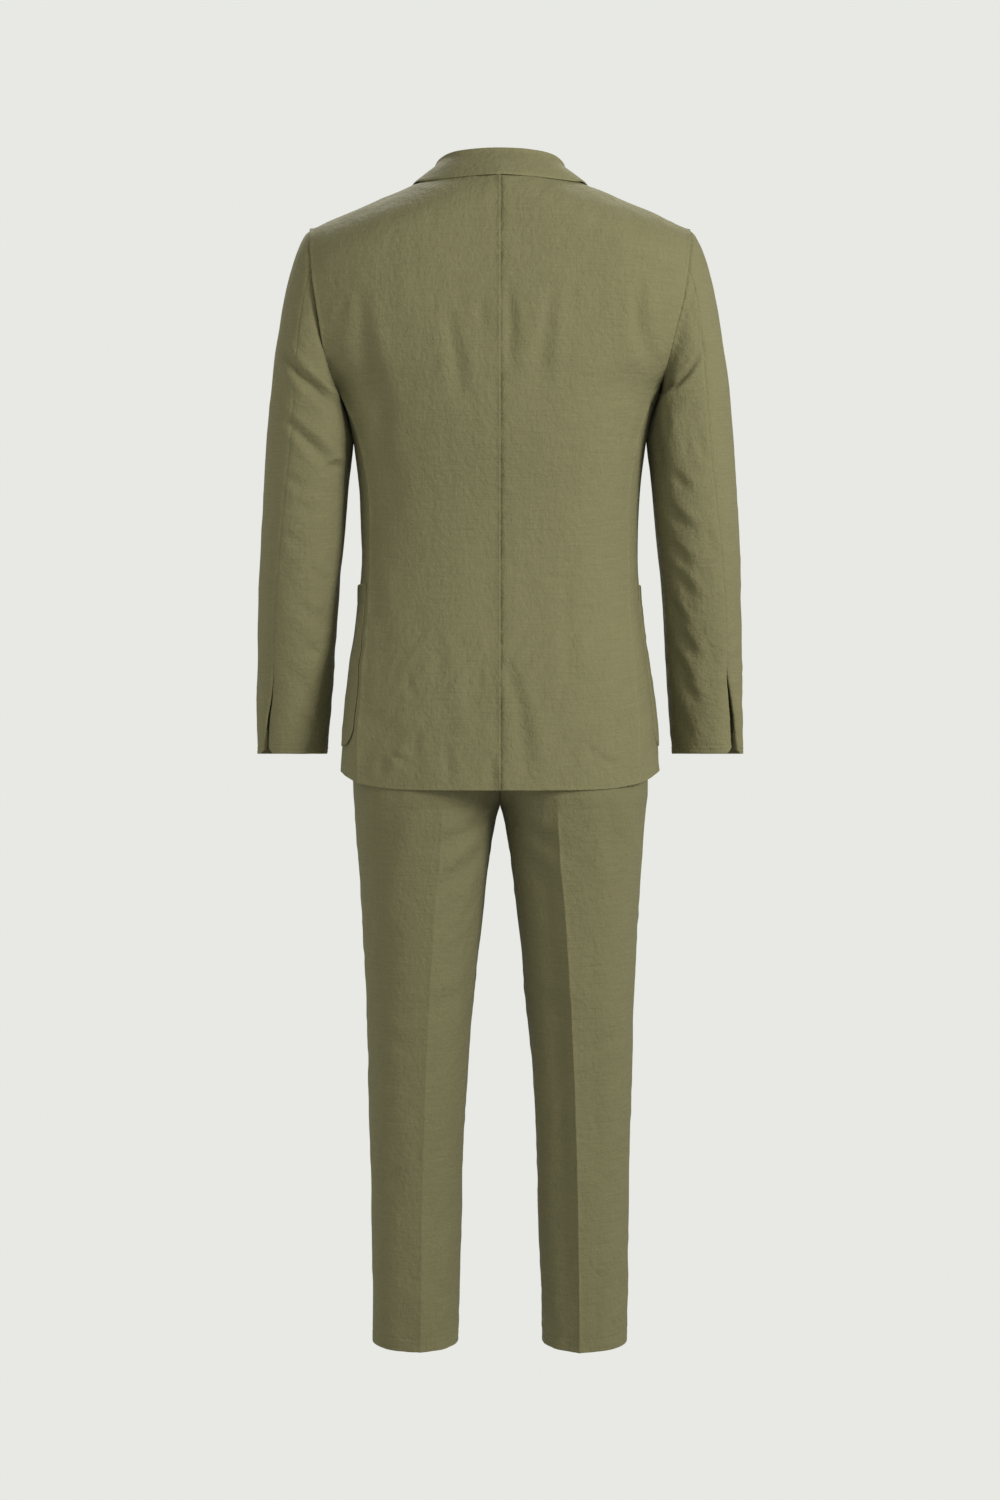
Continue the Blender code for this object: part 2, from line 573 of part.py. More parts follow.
def collar(linen):
    """The collar, one turned piece: up the stand, over the fold and down the fall."""
    stations = []
    for i in range(len(COLLAR["seam_x"])):
        seam = np.array([COLLAR[f"seam_{axis}"][i] for axis in "xyz"])
        fold = np.array([COLLAR[f"fold_{axis}"][i] for axis in "xyz"])
        edge = np.array(body_point(COLLAR["edge_x"][i], COLLAR["edge_z"][i], COLLAR["edge_side"][i]))
        out = unit((edge - seam) * (1, 1, 0))
        edge = edge + COLLAR["edge_lift"][i] * unit((edge - CHEST) * (0.2, 1, 1))
        inside, outside = fold - out * COLLAR_ROLL, fold + out * COLLAR_ROLL
        low = np.array((0, 0, COLLAR_ROLL))
        stations.append([seam, (seam + inside - low) / 2, inside - low, fold - out * COLLAR_ROLL * 0.6,
                         fold + out * COLLAR_ROLL * 0.6, outside - low,
                         (outside - low + edge) / 2 + (0, 0, 0.001), edge])
    half = np.array(stations)
    whole = np.concatenate((flipped(half)[:0:-1], half))
    normals = unit(np.cross(np.gradient(whole, axis=0), np.gradient(whole, axis=1)))
    middle = len(half) - 1
    if normals[middle, -1][1] < 0:
        normals = -normals
    wall("collar", whole, normals, linen, COLLAR_WALL)


def sleeves(linen):
    """Upper and under sleeves, open between them at the vent above the cuff."""
    back = list(BACK_PSI[::-1])
    split = 4
    loop_upper = back[split:] + list(FRONT_PSI[1:-1])
    loop_under = [FRONT_PSI[-2]] + list(LOW_PSI[::-1]) + [psi + 2 * math.pi for psi in back[1:split + 1]]
    upper, under = sleeve_grid(loop_upper, False), sleeve_grid(loop_under, True)
    normals = shared_normals([upper, under], read(SLEEVE, "x", -0.5))
    heights = np.array([point[2] for point in upper[:, 0]])
    opened = np.clip((VENT_TOP_Z - heights) / (VENT_TOP_Z - SLEEVE_LEVELS[-1]), 0, 1)
    gaps = SEAM / 2 + opened * VENT_GAP
    upper = inset(fold_in(upper, normals[0], "sleeve"), first_gaps=gaps)
    under = inset(fold_in(under, normals[1], "sleeve"), last_gaps=gaps)
    upper[-1, 0, 2] += UPPER_VENT_CORNER
    under[-1, -1, 2] += UNDER_VENT_CORNER
    for suffix, turn in (("left", np.copy), ("right", flipped)):
        wall(f"upper_sleeve_{suffix}", turn(upper), turn(normals[0]), linen)
        wall(f"under_sleeve_{suffix}", turn(under), turn(normals[1]), linen)


def trousers(linen, horn):
    """Legs, waistband, fly placket and the button that closes the band."""
    back, front = leg_grid(1), leg_grid(-1)
    band = np.concatenate((leg_grid(1, BAND_LEVELS), leg_grid(-1, BAND_LEVELS)[:, -2::-1]), axis=1)
    centre = read(LEG, "outer", -1.0) / 2
    normals = shared_normals([back, front, band], centre)
    back, front = (fold_in(grid, normal, "leg") for grid, normal in zip((back, front), normals))
    fly = front[:FLY_LEVELS, :FLY_CELLS + 1] + normals[1][:FLY_LEVELS, :FLY_CELLS + 1] * (WALL + FLY_GAP)
    for suffix, turn in (("left", np.copy), ("right", flipped)):
        wall(f"leg_back_{suffix}", turn(inset(back)), turn(normals[0]), linen, least_x=SEAM / 2)
        wall(f"leg_front_{suffix}", turn(inset(front)), turn(normals[1]), linen, least_x=SEAM / 2)
        wall(f"waistband_{suffix}", turn(inset(band)), turn(normals[2]), linen, BAND_WALL, least_x=SEAM / 2)
    wall("fly", fly, normals[1][:FLY_LEVELS, :FLY_CELLS + 1], linen, least_x=SEAM / 2)
    middle = BAND_LEVELS[1]
    button("waist_button", 0.0, middle, WAIST_BUTTON_RADIUS, -read(LEG, "front", middle), horn)


def build():
    linen = material("linen", LINEN, 0.85)
    horn = material("horn", HORN, 0.35)
    jacket_body(linen)
    lapels(linen)
    collar(linen)
    sleeves(linen)
    trousers(linen, horn)
    for name, (x, z), right in (("jacket_button_upper", UPPER_BUTTON, False),
                                ("jacket_button_lower", LOWER_BUTTON, True)):
        surface = front_point(abs(x), z, right)[1]
        button(name, x, z, BUTTON_RADIUS, surface, horn)


for old in list(bpy.data.objects):
    bpy.data.objects.remove(old, do_unlink=True)
SUIT = bpy.data.collections.new("two_piece_suit")
bpy.context.scene.collection.children.link(SUIT)
build()
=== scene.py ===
"""Looks of the two-piece suit: olive linen shells with folds, seams and stitches, and a studio.

Metres, +Z up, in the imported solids' frame: the garment faces -Y, the wearer's left is +X and the
origin is the centre of the neck opening. Each shell follows its solid's sections, drawn finer, and
stands for that solid. A few sizes, named as the cloth's own, depart from the solids by up to 8 mm,
and by 17 mm at the rear edge of the right pocket.
"""

import math

import bmesh
import bpy
import numpy as np
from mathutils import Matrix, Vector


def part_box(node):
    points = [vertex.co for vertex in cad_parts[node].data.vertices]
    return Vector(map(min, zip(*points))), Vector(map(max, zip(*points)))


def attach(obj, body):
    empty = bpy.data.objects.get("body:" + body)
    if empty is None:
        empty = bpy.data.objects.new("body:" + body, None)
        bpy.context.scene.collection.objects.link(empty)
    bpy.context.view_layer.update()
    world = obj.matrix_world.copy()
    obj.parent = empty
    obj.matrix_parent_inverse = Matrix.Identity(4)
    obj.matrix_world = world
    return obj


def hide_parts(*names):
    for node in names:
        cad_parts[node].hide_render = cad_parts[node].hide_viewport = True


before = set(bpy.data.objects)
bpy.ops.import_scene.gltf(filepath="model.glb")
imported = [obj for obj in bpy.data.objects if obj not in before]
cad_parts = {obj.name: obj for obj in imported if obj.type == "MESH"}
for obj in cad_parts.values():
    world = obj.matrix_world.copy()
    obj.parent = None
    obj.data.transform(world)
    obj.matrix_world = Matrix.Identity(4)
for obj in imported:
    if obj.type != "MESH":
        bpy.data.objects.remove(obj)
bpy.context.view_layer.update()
BODY_NAME = "root"

# ---- sizes of the garment, the solids' own unless a comment says otherwise ----

ROUNDNESS = 2.3  # exponent of the body's sections: 2 is an ellipse, more is squarer
SLEEVE_ROUNDNESS = 2.15
LEG_ROUNDNESS = 2.25
NECK_X, NECK_Z = 0.078, -0.0085  # upper end of the shoulder seam
NECK_BACK_Z = -0.017
SHOULDER_X = 0.2268
SHOULDER_SLOPE = 0.4215
SHOULDER_CAP = 0.070
ARMPIT_Z = -0.270
ARM_GAP = 0.0006
ARM_BACK_PSI = math.radians(-40.3)
ARM_FRONT_PSI = math.radians(228.3)
ARM_TIP = math.radians(16)  # over this angle beside the shoulder seam the armhole comes out to its end
SIDE_TOP_Z = -0.300  # the side panel's rows are level from here down
HEM_SIDE_Z = -0.720
HEM_DIP = 0.0215
HEM_TURN = 5.5  # the cloth's own: how suddenly the hem rises at the sides
BODY = {
    "z": (0.03, -0.07, -0.15, -0.20, -0.235, -0.27, -0.30, -0.335, -0.41, -0.46, -0.53, -0.60, -0.66,
          -0.75),
    "half_width": (0.250, 0.250, 0.250, 0.235, 0.2155, 0.190, 0.181, 0.174, 0.1662, 0.1645, 0.169, 0.1785,
                   0.1865, 0.193),
    "back": (0.095, 0.118, 0.128, 0.130, 0.130, 0.128, 0.126, 0.122, 0.111, 0.108, 0.113, 0.125, 0.130,
             0.131),
    "front": (0.070, 0.095, 0.115, 0.125, 0.130, 0.132, 0.132, 0.130, 0.123, 0.120, 0.122, 0.128, 0.132,
              0.134),
}
SIDE_SEAMS = {
    "z": (-0.068, -0.10, -0.142, -0.20, -0.235, -0.245, -0.27, -0.275),
    "arm_back": (0.2268, 0.2240, 0.218, 0.2055, 0.198, 0.1957, 0.190, 0.1885),
    "arm_front": (0.2268, 0.2170, 0.204, 0.191, 0.1865, 0.1862, 0.190, 0.1885),
}
LOW_SEAMS = {  # the back column is the cloth's own, up to 5.5 mm nearer the centre than the solids' seam
    "z": (-0.235, -0.30, -0.335, -0.41, -0.50, -0.60, -0.677, -0.75),
    "back": (0.198, 0.169, 0.160, 0.151, 0.151, 0.157, 0.1615, 0.1635),
    "front": (0.188, 0.172, 0.166, 0.158, 0.159, 0.166, 0.172, 0.175),
}
FRONT_EDGE = {
    "z": (-0.75, -0.71, -0.69, -0.66, -0.60, -0.53, -0.46, -0.42, -0.40, -0.37, -0.20, NECK_Z, 0.05),
    "x": (0.090, 0.066, 0.052, 0.035, 0.015, 0.002, -0.016, -0.020, -0.020, -0.0125, 0.0299, NECK_X, 0.092),
}
OVERLAP = {
    "z": (-0.76, -0.43, -0.39, -0.26, -0.20, 0.05),
    "dip": (0.0030, 0.0030, 0.0068, 0.0068, 0.0, 0.0),
}
OVERLAP_FULL, OVERLAP_REACH = 0.024, 0.065
ROLL_LOW = np.array((-0.020, -0.400))
ROLL_HIGH = np.array((NECK_X, NECK_Z))
GORGE_INNER, GORGE_OUTER = 0.86, 0.75
LAPEL = {"along": (0.0, 0.1, 0.4, 0.8, 1.0), "width": (0.004, 0.024, 0.058, 0.080, 0.085)}
LAPEL_LENGTH, LAPEL_WIDTH = 0.345, 0.080  # its usual run along the roll line and across
LAPEL_LIFT = 0.0027
ROLL_RISE, ROLL_AT = 0.0022, 0.007  # the soft rise beside the roll line, and how far from the line it lies
LAPEL_TIP_RISE, LAPEL_TIP_FROM, LAPEL_TIP_UP = 0.0014, 0.65, 0.3  # its outer edge stands off
ROLL_TO = 1.2  # the rise beside the roll line fades out towards this share of its run
COLLAR = {  # edge_z and edge_lift are the cloth's own, up to 4 mm lower and 2 mm closer to the back
    "seam_x": (0.000, 0.030, 0.054, 0.068, 0.0735, 0.0705, 0.0640, 0.0575),
    "seam_y": (0.0890, 0.0820, 0.0610, 0.0330, 0.0030, -0.0400, -0.0720, -0.0880),
    "seam_z": (-0.0140, -0.0130, -0.0105, -0.0080, -0.0070, -0.0170, -0.0385, -0.0600),
    "fold_x": (0.000, 0.030, 0.053, 0.067, 0.0755, 0.0745, 0.0700, 0.0640),
    "fold_y": (0.0680, 0.0630, 0.0480, 0.0260, -0.0020, -0.0420, -0.0800, -0.1000),
    "fold_z": (0.0147, 0.0143, 0.0135, 0.0118, 0.0075, -0.0020, -0.0270, -0.0560),
    "edge_x": (0.000, 0.039, 0.067, 0.086, 0.100, 0.1100, 0.1130, 0.1000),
    "edge_z": (-0.0225, -0.0232, -0.0236, -0.0232, -0.0222, -0.0340, -0.0600, -0.0885),
    "edge_lift": (0.0020, 0.0020, 0.0021, 0.0024, 0.0030, 0.0042, 0.0046, 0.0042),
    "edge_side": (1, 1, 1, 1, 1, -1, -1, -1),
}
CHEST = np.array((0.0, 0.0, -0.10))
COLLAR_ROLL, COLLAR_TOP = 0.0042, 0.6  # half the fold's thickness, and how flat it is on top
COLLAR_BULGE, COLLAR_CRUMPLE, COLLAR_STEPS = 0.001, 0.4, (9, 6)
SLEEVE = {
    "z": (-0.31, -0.33, -0.42, -0.51, -0.60, -0.66, -0.71),
    "x": (0.2278, 0.2290, 0.2354, 0.2421, 0.2463, 0.2492, 0.2516),
    "y": (0.002, 0.001, -0.001, -0.0085, -0.0205, -0.029, -0.035),
    "half_width": (0.0504, 0.0507, 0.0496, 0.0473, 0.0454, 0.0433, 0.0412),
    "half_depth": (0.0770, 0.0765, 0.0725, 0.0675, 0.0600, 0.0545, 0.0515),
    "back_seam": (18, 19, 24, 28, 31, 42, 51),
    "front_seam": (215, 215, 215, 215, 215, 215, 215),
}
CAP_START, CAP_END = 0.34, 1.14
CAP_LEAVES_HIGH = np.array((0.86, 0, -0.51))  # which way the cap leaves the armhole at the shoulder
CAP_LEAVES_LOW = np.array((0.02, 0, -1.0))  # and at the armpit
CAP_Z, CUFF_Z = -0.33, -0.699
VENT_TOP_Z = -0.592  # the cloth's own, 5 mm above the solids' vent
ARM_CELLS, SIDE_CELLS = 8, 6
BACK_SPLIT = 4  # the armhole point, counted up from the side panel, where the sleeve's back seam starts
POCKET_TOP_Z = -0.498  # the cloth's own, 8 mm below the solids' pocket mouths
POCKET_BOTTOM_Z = -0.690
POCKET_REAR = {"left": 0.09, "right": 0.36}  # the cloth's own: the rear edges, as shares of the side panel
POCKET_FORWARD = 0.5  # the front edges, as a share of the front
SIDE_WIDTH, FRONT_WIDTH = 0.085, 0.170  # the side panel's and a front's usual width
UPPER_WIDTH, UNDER_WIDTH = 0.215, 0.150  # the sleeve pieces' usual widths
HALF_LEG_WIDTH = 0.100  # from a leg's seam to its crease
LEG = {
    "z": (-0.46, -0.505, -0.56, -0.61, -0.66, -0.69, -0.72, -0.745, -0.763, -0.805, -0.889, -0.967, -1.071,
          -1.201, -1.286, -1.42),
    "inner": (-0.146, -0.150, -0.158, -0.164, -0.170, -0.110, -0.052, -0.016, 0.0008, 0.0095, 0.0204, 0.0290,
              0.0384, 0.0451, 0.0475, 0.0508),
    "outer": (0.146, 0.150, 0.158, 0.164, 0.170, 0.1735, 0.1760, 0.1762, 0.1745, 0.1712, 0.1650, 0.1610,
              0.1580, 0.1550, 0.1537, 0.1520),
    "back": (0.091, 0.098, 0.107, 0.114, 0.1175, 0.1180, 0.1175, 0.115, 0.112, 0.104, 0.092, 0.085, 0.077,
             0.068, 0.064, 0.060),
    "front": (0.094, 0.099, 0.105, 0.109, 0.110, 0.109, 0.107, 0.104, 0.101, 0.096, 0.086, 0.080, 0.073,
              0.067, 0.065, 0.063),
    "crease_x": (0.072, 0.072, 0.072, 0.071, 0.070, 0.070, 0.070, 0.070, 0.070, 0.0715, 0.079, 0.084, 0.0893,
                 0.0935, 0.095, 0.0965),
    "crease_rise": (0.0, 0.0, 0.0, 0.0, 0.0, 0.0005, 0.001, 0.0015, 0.002, 0.003, 0.004, 0.0045, 0.005,
                    0.005, 0.005, 0.005),
}
WAIST_Z, BAND_TOP_Z, TROUSER_HEM_Z = -0.505, -0.467, -1.404
PRESS_TOP_Z, PRESS_FULL_Z = -0.740, -0.800  # the legs' creases begin and come to their full sharpness here
HEM_ARC_TOP_Z = -1.34

# ---- sizes of the finish ----

CELL = 0.0038  # usual distance between a shell's points
BODY_CELL, FRONT_CELL, SIDE_CELL, SLEEVE_CELL, LEG_CELL = 0.0042, 0.0040, 0.0036, 0.0042, 0.0036
ARM_ROWS, ARM_ROWS_CLOSER = 62, 1.35  # rows beside the armhole, and how much closer they are near its top
ARM_FIRST_ROWS = (0.0002, 0.0009)
SEAM_END_ROWS = 18  # rows from the armhole's end to the level part
LOW_FIRST_ROW = 0.004  # the next one, as a share of the way down to the hem
PANEL_BEND = 1.2  # how soon the rows of a back or front stop following the shoulder
CAP_FIRST_ROWS, CAP_NEXT_ROW, CAP_ROWS = (0, 0.003, 0.008, 0.016, 0.028), 0.042, 46
CAP_AIM = 0.03  # the cap arrives in the direction of the sleeve this much further down
SLEEVE_MIDDLE_Z, LEG_MIDDLE_Z = -0.5, -1.0
FINE_STEPS = (-0.0046, -0.0027, -0.0014, -0.0006, 0.0, 0.0006, 0.0014, 0.0027, 0.0046)
STITCH_DIP, STITCH_SPREAD = 0.00032, 0.0011
CUFF_STITCH, TROUSER_HEM = (0.0050, 0.0095), 0.0150
POCKET_STITCH, POCKET_HEM = (0.0045,), 0.022  # distance of the stitches from the sides and from the mouth
POCKET_WIDTH, POCKET_RADIUS, POCKET_ROUND_ROWS = 0.165, 0.024, 14
POCKET_LIFT, POCKET_FULL, POCKET_FULL_REACH = 0.0007, 0.0014, 0.030  # at its edges, and more in the middle
POCKET_MOUTH, POCKET_MOUTH_REACH = 0.0005, 0.020  # how much further its mouth stands off
FLY_BOTTOM_Z, FLY_COLUMNS, FLY_LIFT, FLY_STITCH = -0.692, 18, 0.0022, 0.005
ARM_CALM = 0.007  # within about this distance of the armhole the cloth lies still
ARM_TUCK = {  # how deep each sleeve sinks beside the armhole, and over what width
    "z": (-0.34, -0.30, -0.275, -0.262, -0.245, -0.22, -0.16, -0.10),
    "left": (0.0060, 0.0060, 0.0070, 0.0092, 0.0085, 0.0060, 0.0020, 0.0),
    "right": (0.0050, 0.0050, 0.0050, -0.0020, -0.0036, -0.0040, -0.0020, 0.0),
    "reach": (0.012, 0.012, 0.009, 0.010, 0.013, 0.013, 0.012, 0.010),
}
ARM_FULL = {  # how far each sleeve stands out towards the body below the armpit
    "z": (-0.42, -0.38, -0.345, -0.32, -0.295, -0.27),
    "out": (0.0, 0.0004, 0.0018, 0.0028, 0.0018, 0.0),
}
TUCK_FACING, FULL_FACING = 0.4, 0.6  # both are full where the cloth faces that way by this much
CORNERS = {  # how far the body stands out along the side back seam and the armhole above it
    "z": (-0.76, -0.70, -0.60, -0.50, -0.42, -0.34, -0.29, -0.25, -0.20, -0.16, -0.11),
    "rise": (0.0050, 0.0062, 0.0062, 0.0048, 0.0030, 0.0042, 0.0068, 0.0085, 0.0070, 0.0038, 0.0),
}
CORNER_SPREAD, CORNER_SHAPE = 0.022, 1.2
CORNER_SHARE = {"left": 1.0, "right": 0.35}
HEM_ARC, HEM_ARC_FLAT = 0.0017, 0.8  # how far a trouser hem bows down behind and before, and how evenly
PRESSED_EDGE, PRESSED_SPREAD = 0.0012, 0.0028  # rise and half width of the sharp edge along a pressed crease
PRESSED = {"left": 0.6, "right": 1.3}  # how sharply each leg is pressed
CREASE_IN = 0.0025  # the creases lie this much nearer the inner seams than the solids' own
CREASE_CELLS, CREASE_SHAPE = 5, 1.25  # a crease rises over a fifth of the cloth beside it, and how sharply

# How the cloth lies beside each kind of edge: its rise, the half width of that, and how much paler it is
# # painted there, partly wear and partly a painted highlight on the edge's fold.
EDGE_LOOKS = {
    "seam": (-0.0006, 0.0016, 0.0),
    "lap": (0.0010, 0.0032, 0.9),
    "ridge": (0.0011, 0.0026, 0.8),
    "under": (-0.0015, 0.0045, 0.0),
    "groove": (-0.0015, 0.0032, 0.0),
    "hem": (-0.0003, 0.0008, 1.0),
    "roll": (-0.0003, 0.0008, 1.0),
}
# how far the paler edges reach: partly wear, partly painted highlight
WEAR_AND_HIGHLIGHT_REACH = 0.0022
PUCKER = 0.5  # how much the furrows beside the edges vary in depth

# Profiles of turned edges: how far beyond the edge, and how far in from the face.
SEWN_TURN = ((0.0007, 0.0006), (0.0012, 0.0014), (0.0008, 0.0024))
TURNS = {
    "seam": SEWN_TURN,
    "lap": ((0.0007, 0.0003), (0.0012, 0.0011), (0.0009, 0.0022), (-0.0006, 0.0030)),
    "ridge": ((0.0005, 0.0004), (0.0006, 0.0012), (0.0003, 0.0022)),
    "under": SEWN_TURN,
    "groove": SEWN_TURN,
    "hem": ((0.0004, 0.0004), (0.0004, 0.0011), (-0.0012, 0.0016), (-0.0060, 0.0018), (-0.0120, 0.0018),
            (-0.0190, 0.0018), (-0.0260, 0.0018)),
    "roll": ((0.0010, 0.0004), (0.0016, 0.0013), (0.0010, 0.0022), (-0.0010, 0.0027)),
    "none": (),
}


def read(table, column, at, key="z"):
    """Values of a table's column, on a smooth curve through its rows."""
    known, values = np.array(table[key], float), np.array(table[column], float)
    if known[0] > known[-1]:
        known, values = known[::-1], values[::-1]
    slopes = np.diff(values) / np.diff(known)
    ends = np.zeros(len(known))
    same = slopes[1:] * slopes[:-1] > 0
    ends[1:-1][same] = 2 * slopes[1:][same] * slopes[:-1][same] / (slopes[1:] + slopes[:-1])[same]
    ends[0], ends[-1] = slopes[0], slopes[-1]
    at = np.clip(at, known[0], known[-1])
    i = np.clip(np.searchsorted(known, at, side="right") - 1, 0, len(known) - 2)
    h = known[i + 1] - known[i]
    return curve((at - known[i]) / h, values[i], h * ends[i], values[i + 1], h * ends[i + 1])


def curve(t, start, leave, end, arrive):
    """A smooth curve's point at t, from its ends and how it leaves and arrives."""
    return ((1 + 2 * t) * (1 - t) ** 2 * start + t * (1 - t) ** 2 * leave
            + t * t * (3 - 2 * t) * end + t * t * (t - 1) * arrive)


def unit(vectors):
    """Vectors scaled to length 1."""
    return vectors / np.maximum(np.linalg.norm(vectors, axis=-1, keepdims=True), 1e-12)


def power(value, exponent):
    """A power that keeps each value's sign."""
    return np.sign(value) * np.abs(value) ** exponent


def smooth(t):
    """0 below 0, 1 above 1, and a soft step between."""
    t = np.clip(t, 0.0, 1.0)
    return t * t * (3 - 2 * t)


def spread(length, marks=(), cell=CELL):
    """Distances from 0 to length, a cell apart and closer beside both ends and each mark."""
    marks = (0.0, length) + tuple(marks)
    even = np.linspace(0, length, max(2, round(length / cell) + 1))
    places = [place for place in even if min(abs(place - mark) for mark in marks) > 1.6 * FINE_STEPS[-1]]
    places += [mark + step for mark in marks for step in FINE_STEPS if 0 <= mark + step <= length]
    kept = []
    for place in sorted(places):
        if not kept or place - kept[-1] > FINE_STEPS[5] / 2:
            kept.append(place)
    return np.array(kept)


# ---- the surfaces ----

def shoulder_z(x):
    """Height of the shoulder seam's line."""
    return NECK_Z - SHOULDER_SLOPE * (np.abs(x) - NECK_X)


def body_point(x, z, side):
    """The jacket's surface at x and z: side is 1 behind the shoulder seams and -1 before them."""
    x, z = np.broadcast_arrays(np.asarray(x, float), np.asarray(z, float))
    width = read(BODY, "half_width", z)
    depth = read(BODY, "back" if side > 0 else "front", z)
    across = np.maximum(0.0, 1 - (np.abs(x) / width) ** ROUNDNESS) ** (1 / ROUNDNESS)
    over = 1 - np.clip((shoulder_z(x) - z) / SHOULDER_CAP, 0.0, 1.0)
    return np.stack((x, side * depth * across * np.sqrt(1 - over * over), z), -1)


def front_point(x, z, right):
    """The front's surface, with the right front lying lower where the left one covers it."""
    points = body_point(x, z, -1)
    if right:
        reach = smooth((OVERLAP_REACH - points[..., 0]) / (OVERLAP_REACH - OVERLAP_FULL))
        points[..., 1] += read(OVERLAP, "dip", points[..., 2]) * reach
    return points


def body_angle(x, z, side):
    """Angle round the body's section, from 0 at the centre back to pi at the centre front."""
    ratio = np.minimum(np.abs(x) / read(BODY, "half_width", z), 1.0)
    angle = np.arcsin(ratio ** (ROUNDNESS / 2))
    return angle if side > 0 else math.pi - angle


def at_angle(angle, z):
    """The jacket's surface at an angle round the section, below the armpit."""
    x = read(BODY, "half_width", z) * power(np.sin(angle), 2 / ROUNDNESS)
    depth = np.where(np.cos(angle) > 0, read(BODY, "back", z), read(BODY, "front", z))
    return np.stack((x, depth * power(np.cos(angle), 2 / ROUNDNESS), z), -1)


def hem_z(angle):
    """Height of the jacket's hem round the body."""
    return HEM_SIDE_Z - HEM_DIP * (1 - np.abs(np.sin(angle)) ** HEM_TURN)


def armhole_point(psi, side):
    """Points of the armhole: 90 degrees is the shoulder, 0 the back and 180 the front."""
    psi = np.asarray(psi, float)
    column = "arm_back" if side > 0 else "arm_front"
    top = shoulder_z(SHOULDER_X)
    z = (top + ARMPIT_Z) / 2 + (top - ARMPIT_Z) / 2 * np.sin(psi)
    tip = np.clip(1 - np.abs(psi - math.pi / 2) / ARM_TIP, 0, 1)
    x = read(SIDE_SEAMS, column, z) + (SHOULDER_X - read(SIDE_SEAMS, column, top)) * tip
    return body_point(np.minimum(x, read(BODY, "half_width", z)), z, side)


def arm_rows(side):
    """The armhole's rows: the share of its run, and its points down to the side panel's seam."""
    even = np.linspace(0, 1, ARM_ROWS) ** ARM_ROWS_CLOSER
    shares = np.sort(np.concatenate((even, ARM_FIRST_ROWS)))
    end = ARM_BACK_PSI if side > 0 else ARM_FRONT_PSI
    return shares, armhole_point(math.pi / 2 + (end - math.pi / 2) * shares, side)


def low_rows():
    """Rows from the armhole's end to the level part, as shares, and from there to the hem."""
    upper = np.linspace(0, 1, SEAM_END_ROWS + 1)[1:]
    length = SIDE_TOP_Z - HEM_SIDE_Z + HEM_DIP
    lower = spread(length) / length
    return upper, lower[lower > LOW_FIRST_ROW]


def seam_x(z, side, start):
    """Distance of the side panel's seam from the centre, starting where the armhole ends."""
    column = "back" if side > 0 else "front"
    away = start[0] - read(LOW_SEAMS, column, start[2])
    return read(LOW_SEAMS, column, z) + away * smooth((z - SIDE_TOP_Z) / (start[2] - SIDE_TOP_Z))


def panel_rows(side):
    """For each row of a back or front: the fade towards the neck, and the edge's x and z."""
    shares, arm = arm_rows(side)
    upper, lower = low_rows()
    start = arm[-1]
    z_upper = start[2] + (SIDE_TOP_Z - start[2]) * upper
    hem_x = read(LOW_SEAMS, "back" if side > 0 else "front", HEM_SIDE_Z)
    z_hem = hem_z(body_angle(hem_x, HEM_SIDE_Z, side))
    z_lower = SIDE_TOP_Z + (z_hem - SIDE_TOP_Z) * lower
    z = np.concatenate((arm[:, 2], z_upper, z_lower))
    x = np.concatenate((arm[:, 0], seam_x(z_upper, side, start), seam_x(z_lower, side, start)))
    fade = np.concatenate((np.maximum(0.0, 1 - shares ** PANEL_BEND), np.zeros(len(upper) + len(lower))))
    below = np.concatenate((np.zeros(len(shares) + len(upper)), lower))
    return fade, below, x, z, arm[0, 2], len(shares)


def panel_heights(x, fade, below, edge_z, top_z, tip_z, side):
    """Heights of a panel's points: rows bend to the shoulder above, and to the hem below."""
    level = edge_z[:, None] + (top_z[None, :] - tip_z) * fade[:, None]
    hem = hem_z(body_angle(x[-1], HEM_SIDE_Z, side))
    hanging = SIDE_TOP_Z + (hem[None, :] - SIDE_TOP_Z) * below[:, None]
    return np.where(below[:, None] > 0, hanging, level)


def back_grid():
    """The left back, rows from the neck and shoulder down, columns from the centre outwards."""
    inner = spread(NECK_X, cell=BODY_CELL)[:-4]
    outer = NECK_X + spread(SHOULDER_X - NECK_X, cell=BODY_CELL)[4:]
    tops = np.sort(np.concatenate((inner, outer, (NECK_X,))))
    neck_z = NECK_BACK_Z + (NECK_Z - NECK_BACK_Z) * (tops / NECK_X) ** 2
    top_z = np.where(tops >= NECK_X, shoulder_z(tops), neck_z)
    fade, below, edge_x, edge_z, tip_z, _ = panel_rows(1)
    x = edge_x[:, None] * tops[None, :] / SHOULDER_X
    z = panel_heights(x, fade, below, edge_z, top_z, tip_z, 1)
    return body_point(x, z, 1)


def front_grid(right):
    """A front, rows from the shoulder down, columns from its free edge outwards."""
    across = spread(FRONT_WIDTH, cell=FRONT_CELL) / FRONT_WIDTH
    tops = NECK_X + (SHOULDER_X - NECK_X) * across
    fade, below, edge_x, edge_z, tip_z, _ = panel_rows(-1)
    free_z = edge_z + (NECK_Z - tip_z) * fade
    low = HEM_SIDE_Z - HEM_DIP
    free_z = np.where(below > 0, SIDE_TOP_Z + (low - SIDE_TOP_Z) * below, free_z)
    free = read(FRONT_EDGE, "x", free_z)
    x = free[:, None] + (edge_x - free)[:, None] * across[None, :]
    z = panel_heights(x, fade, below, edge_z, shoulder_z(tops), tip_z, -1)
    return front_point(x, z, right)


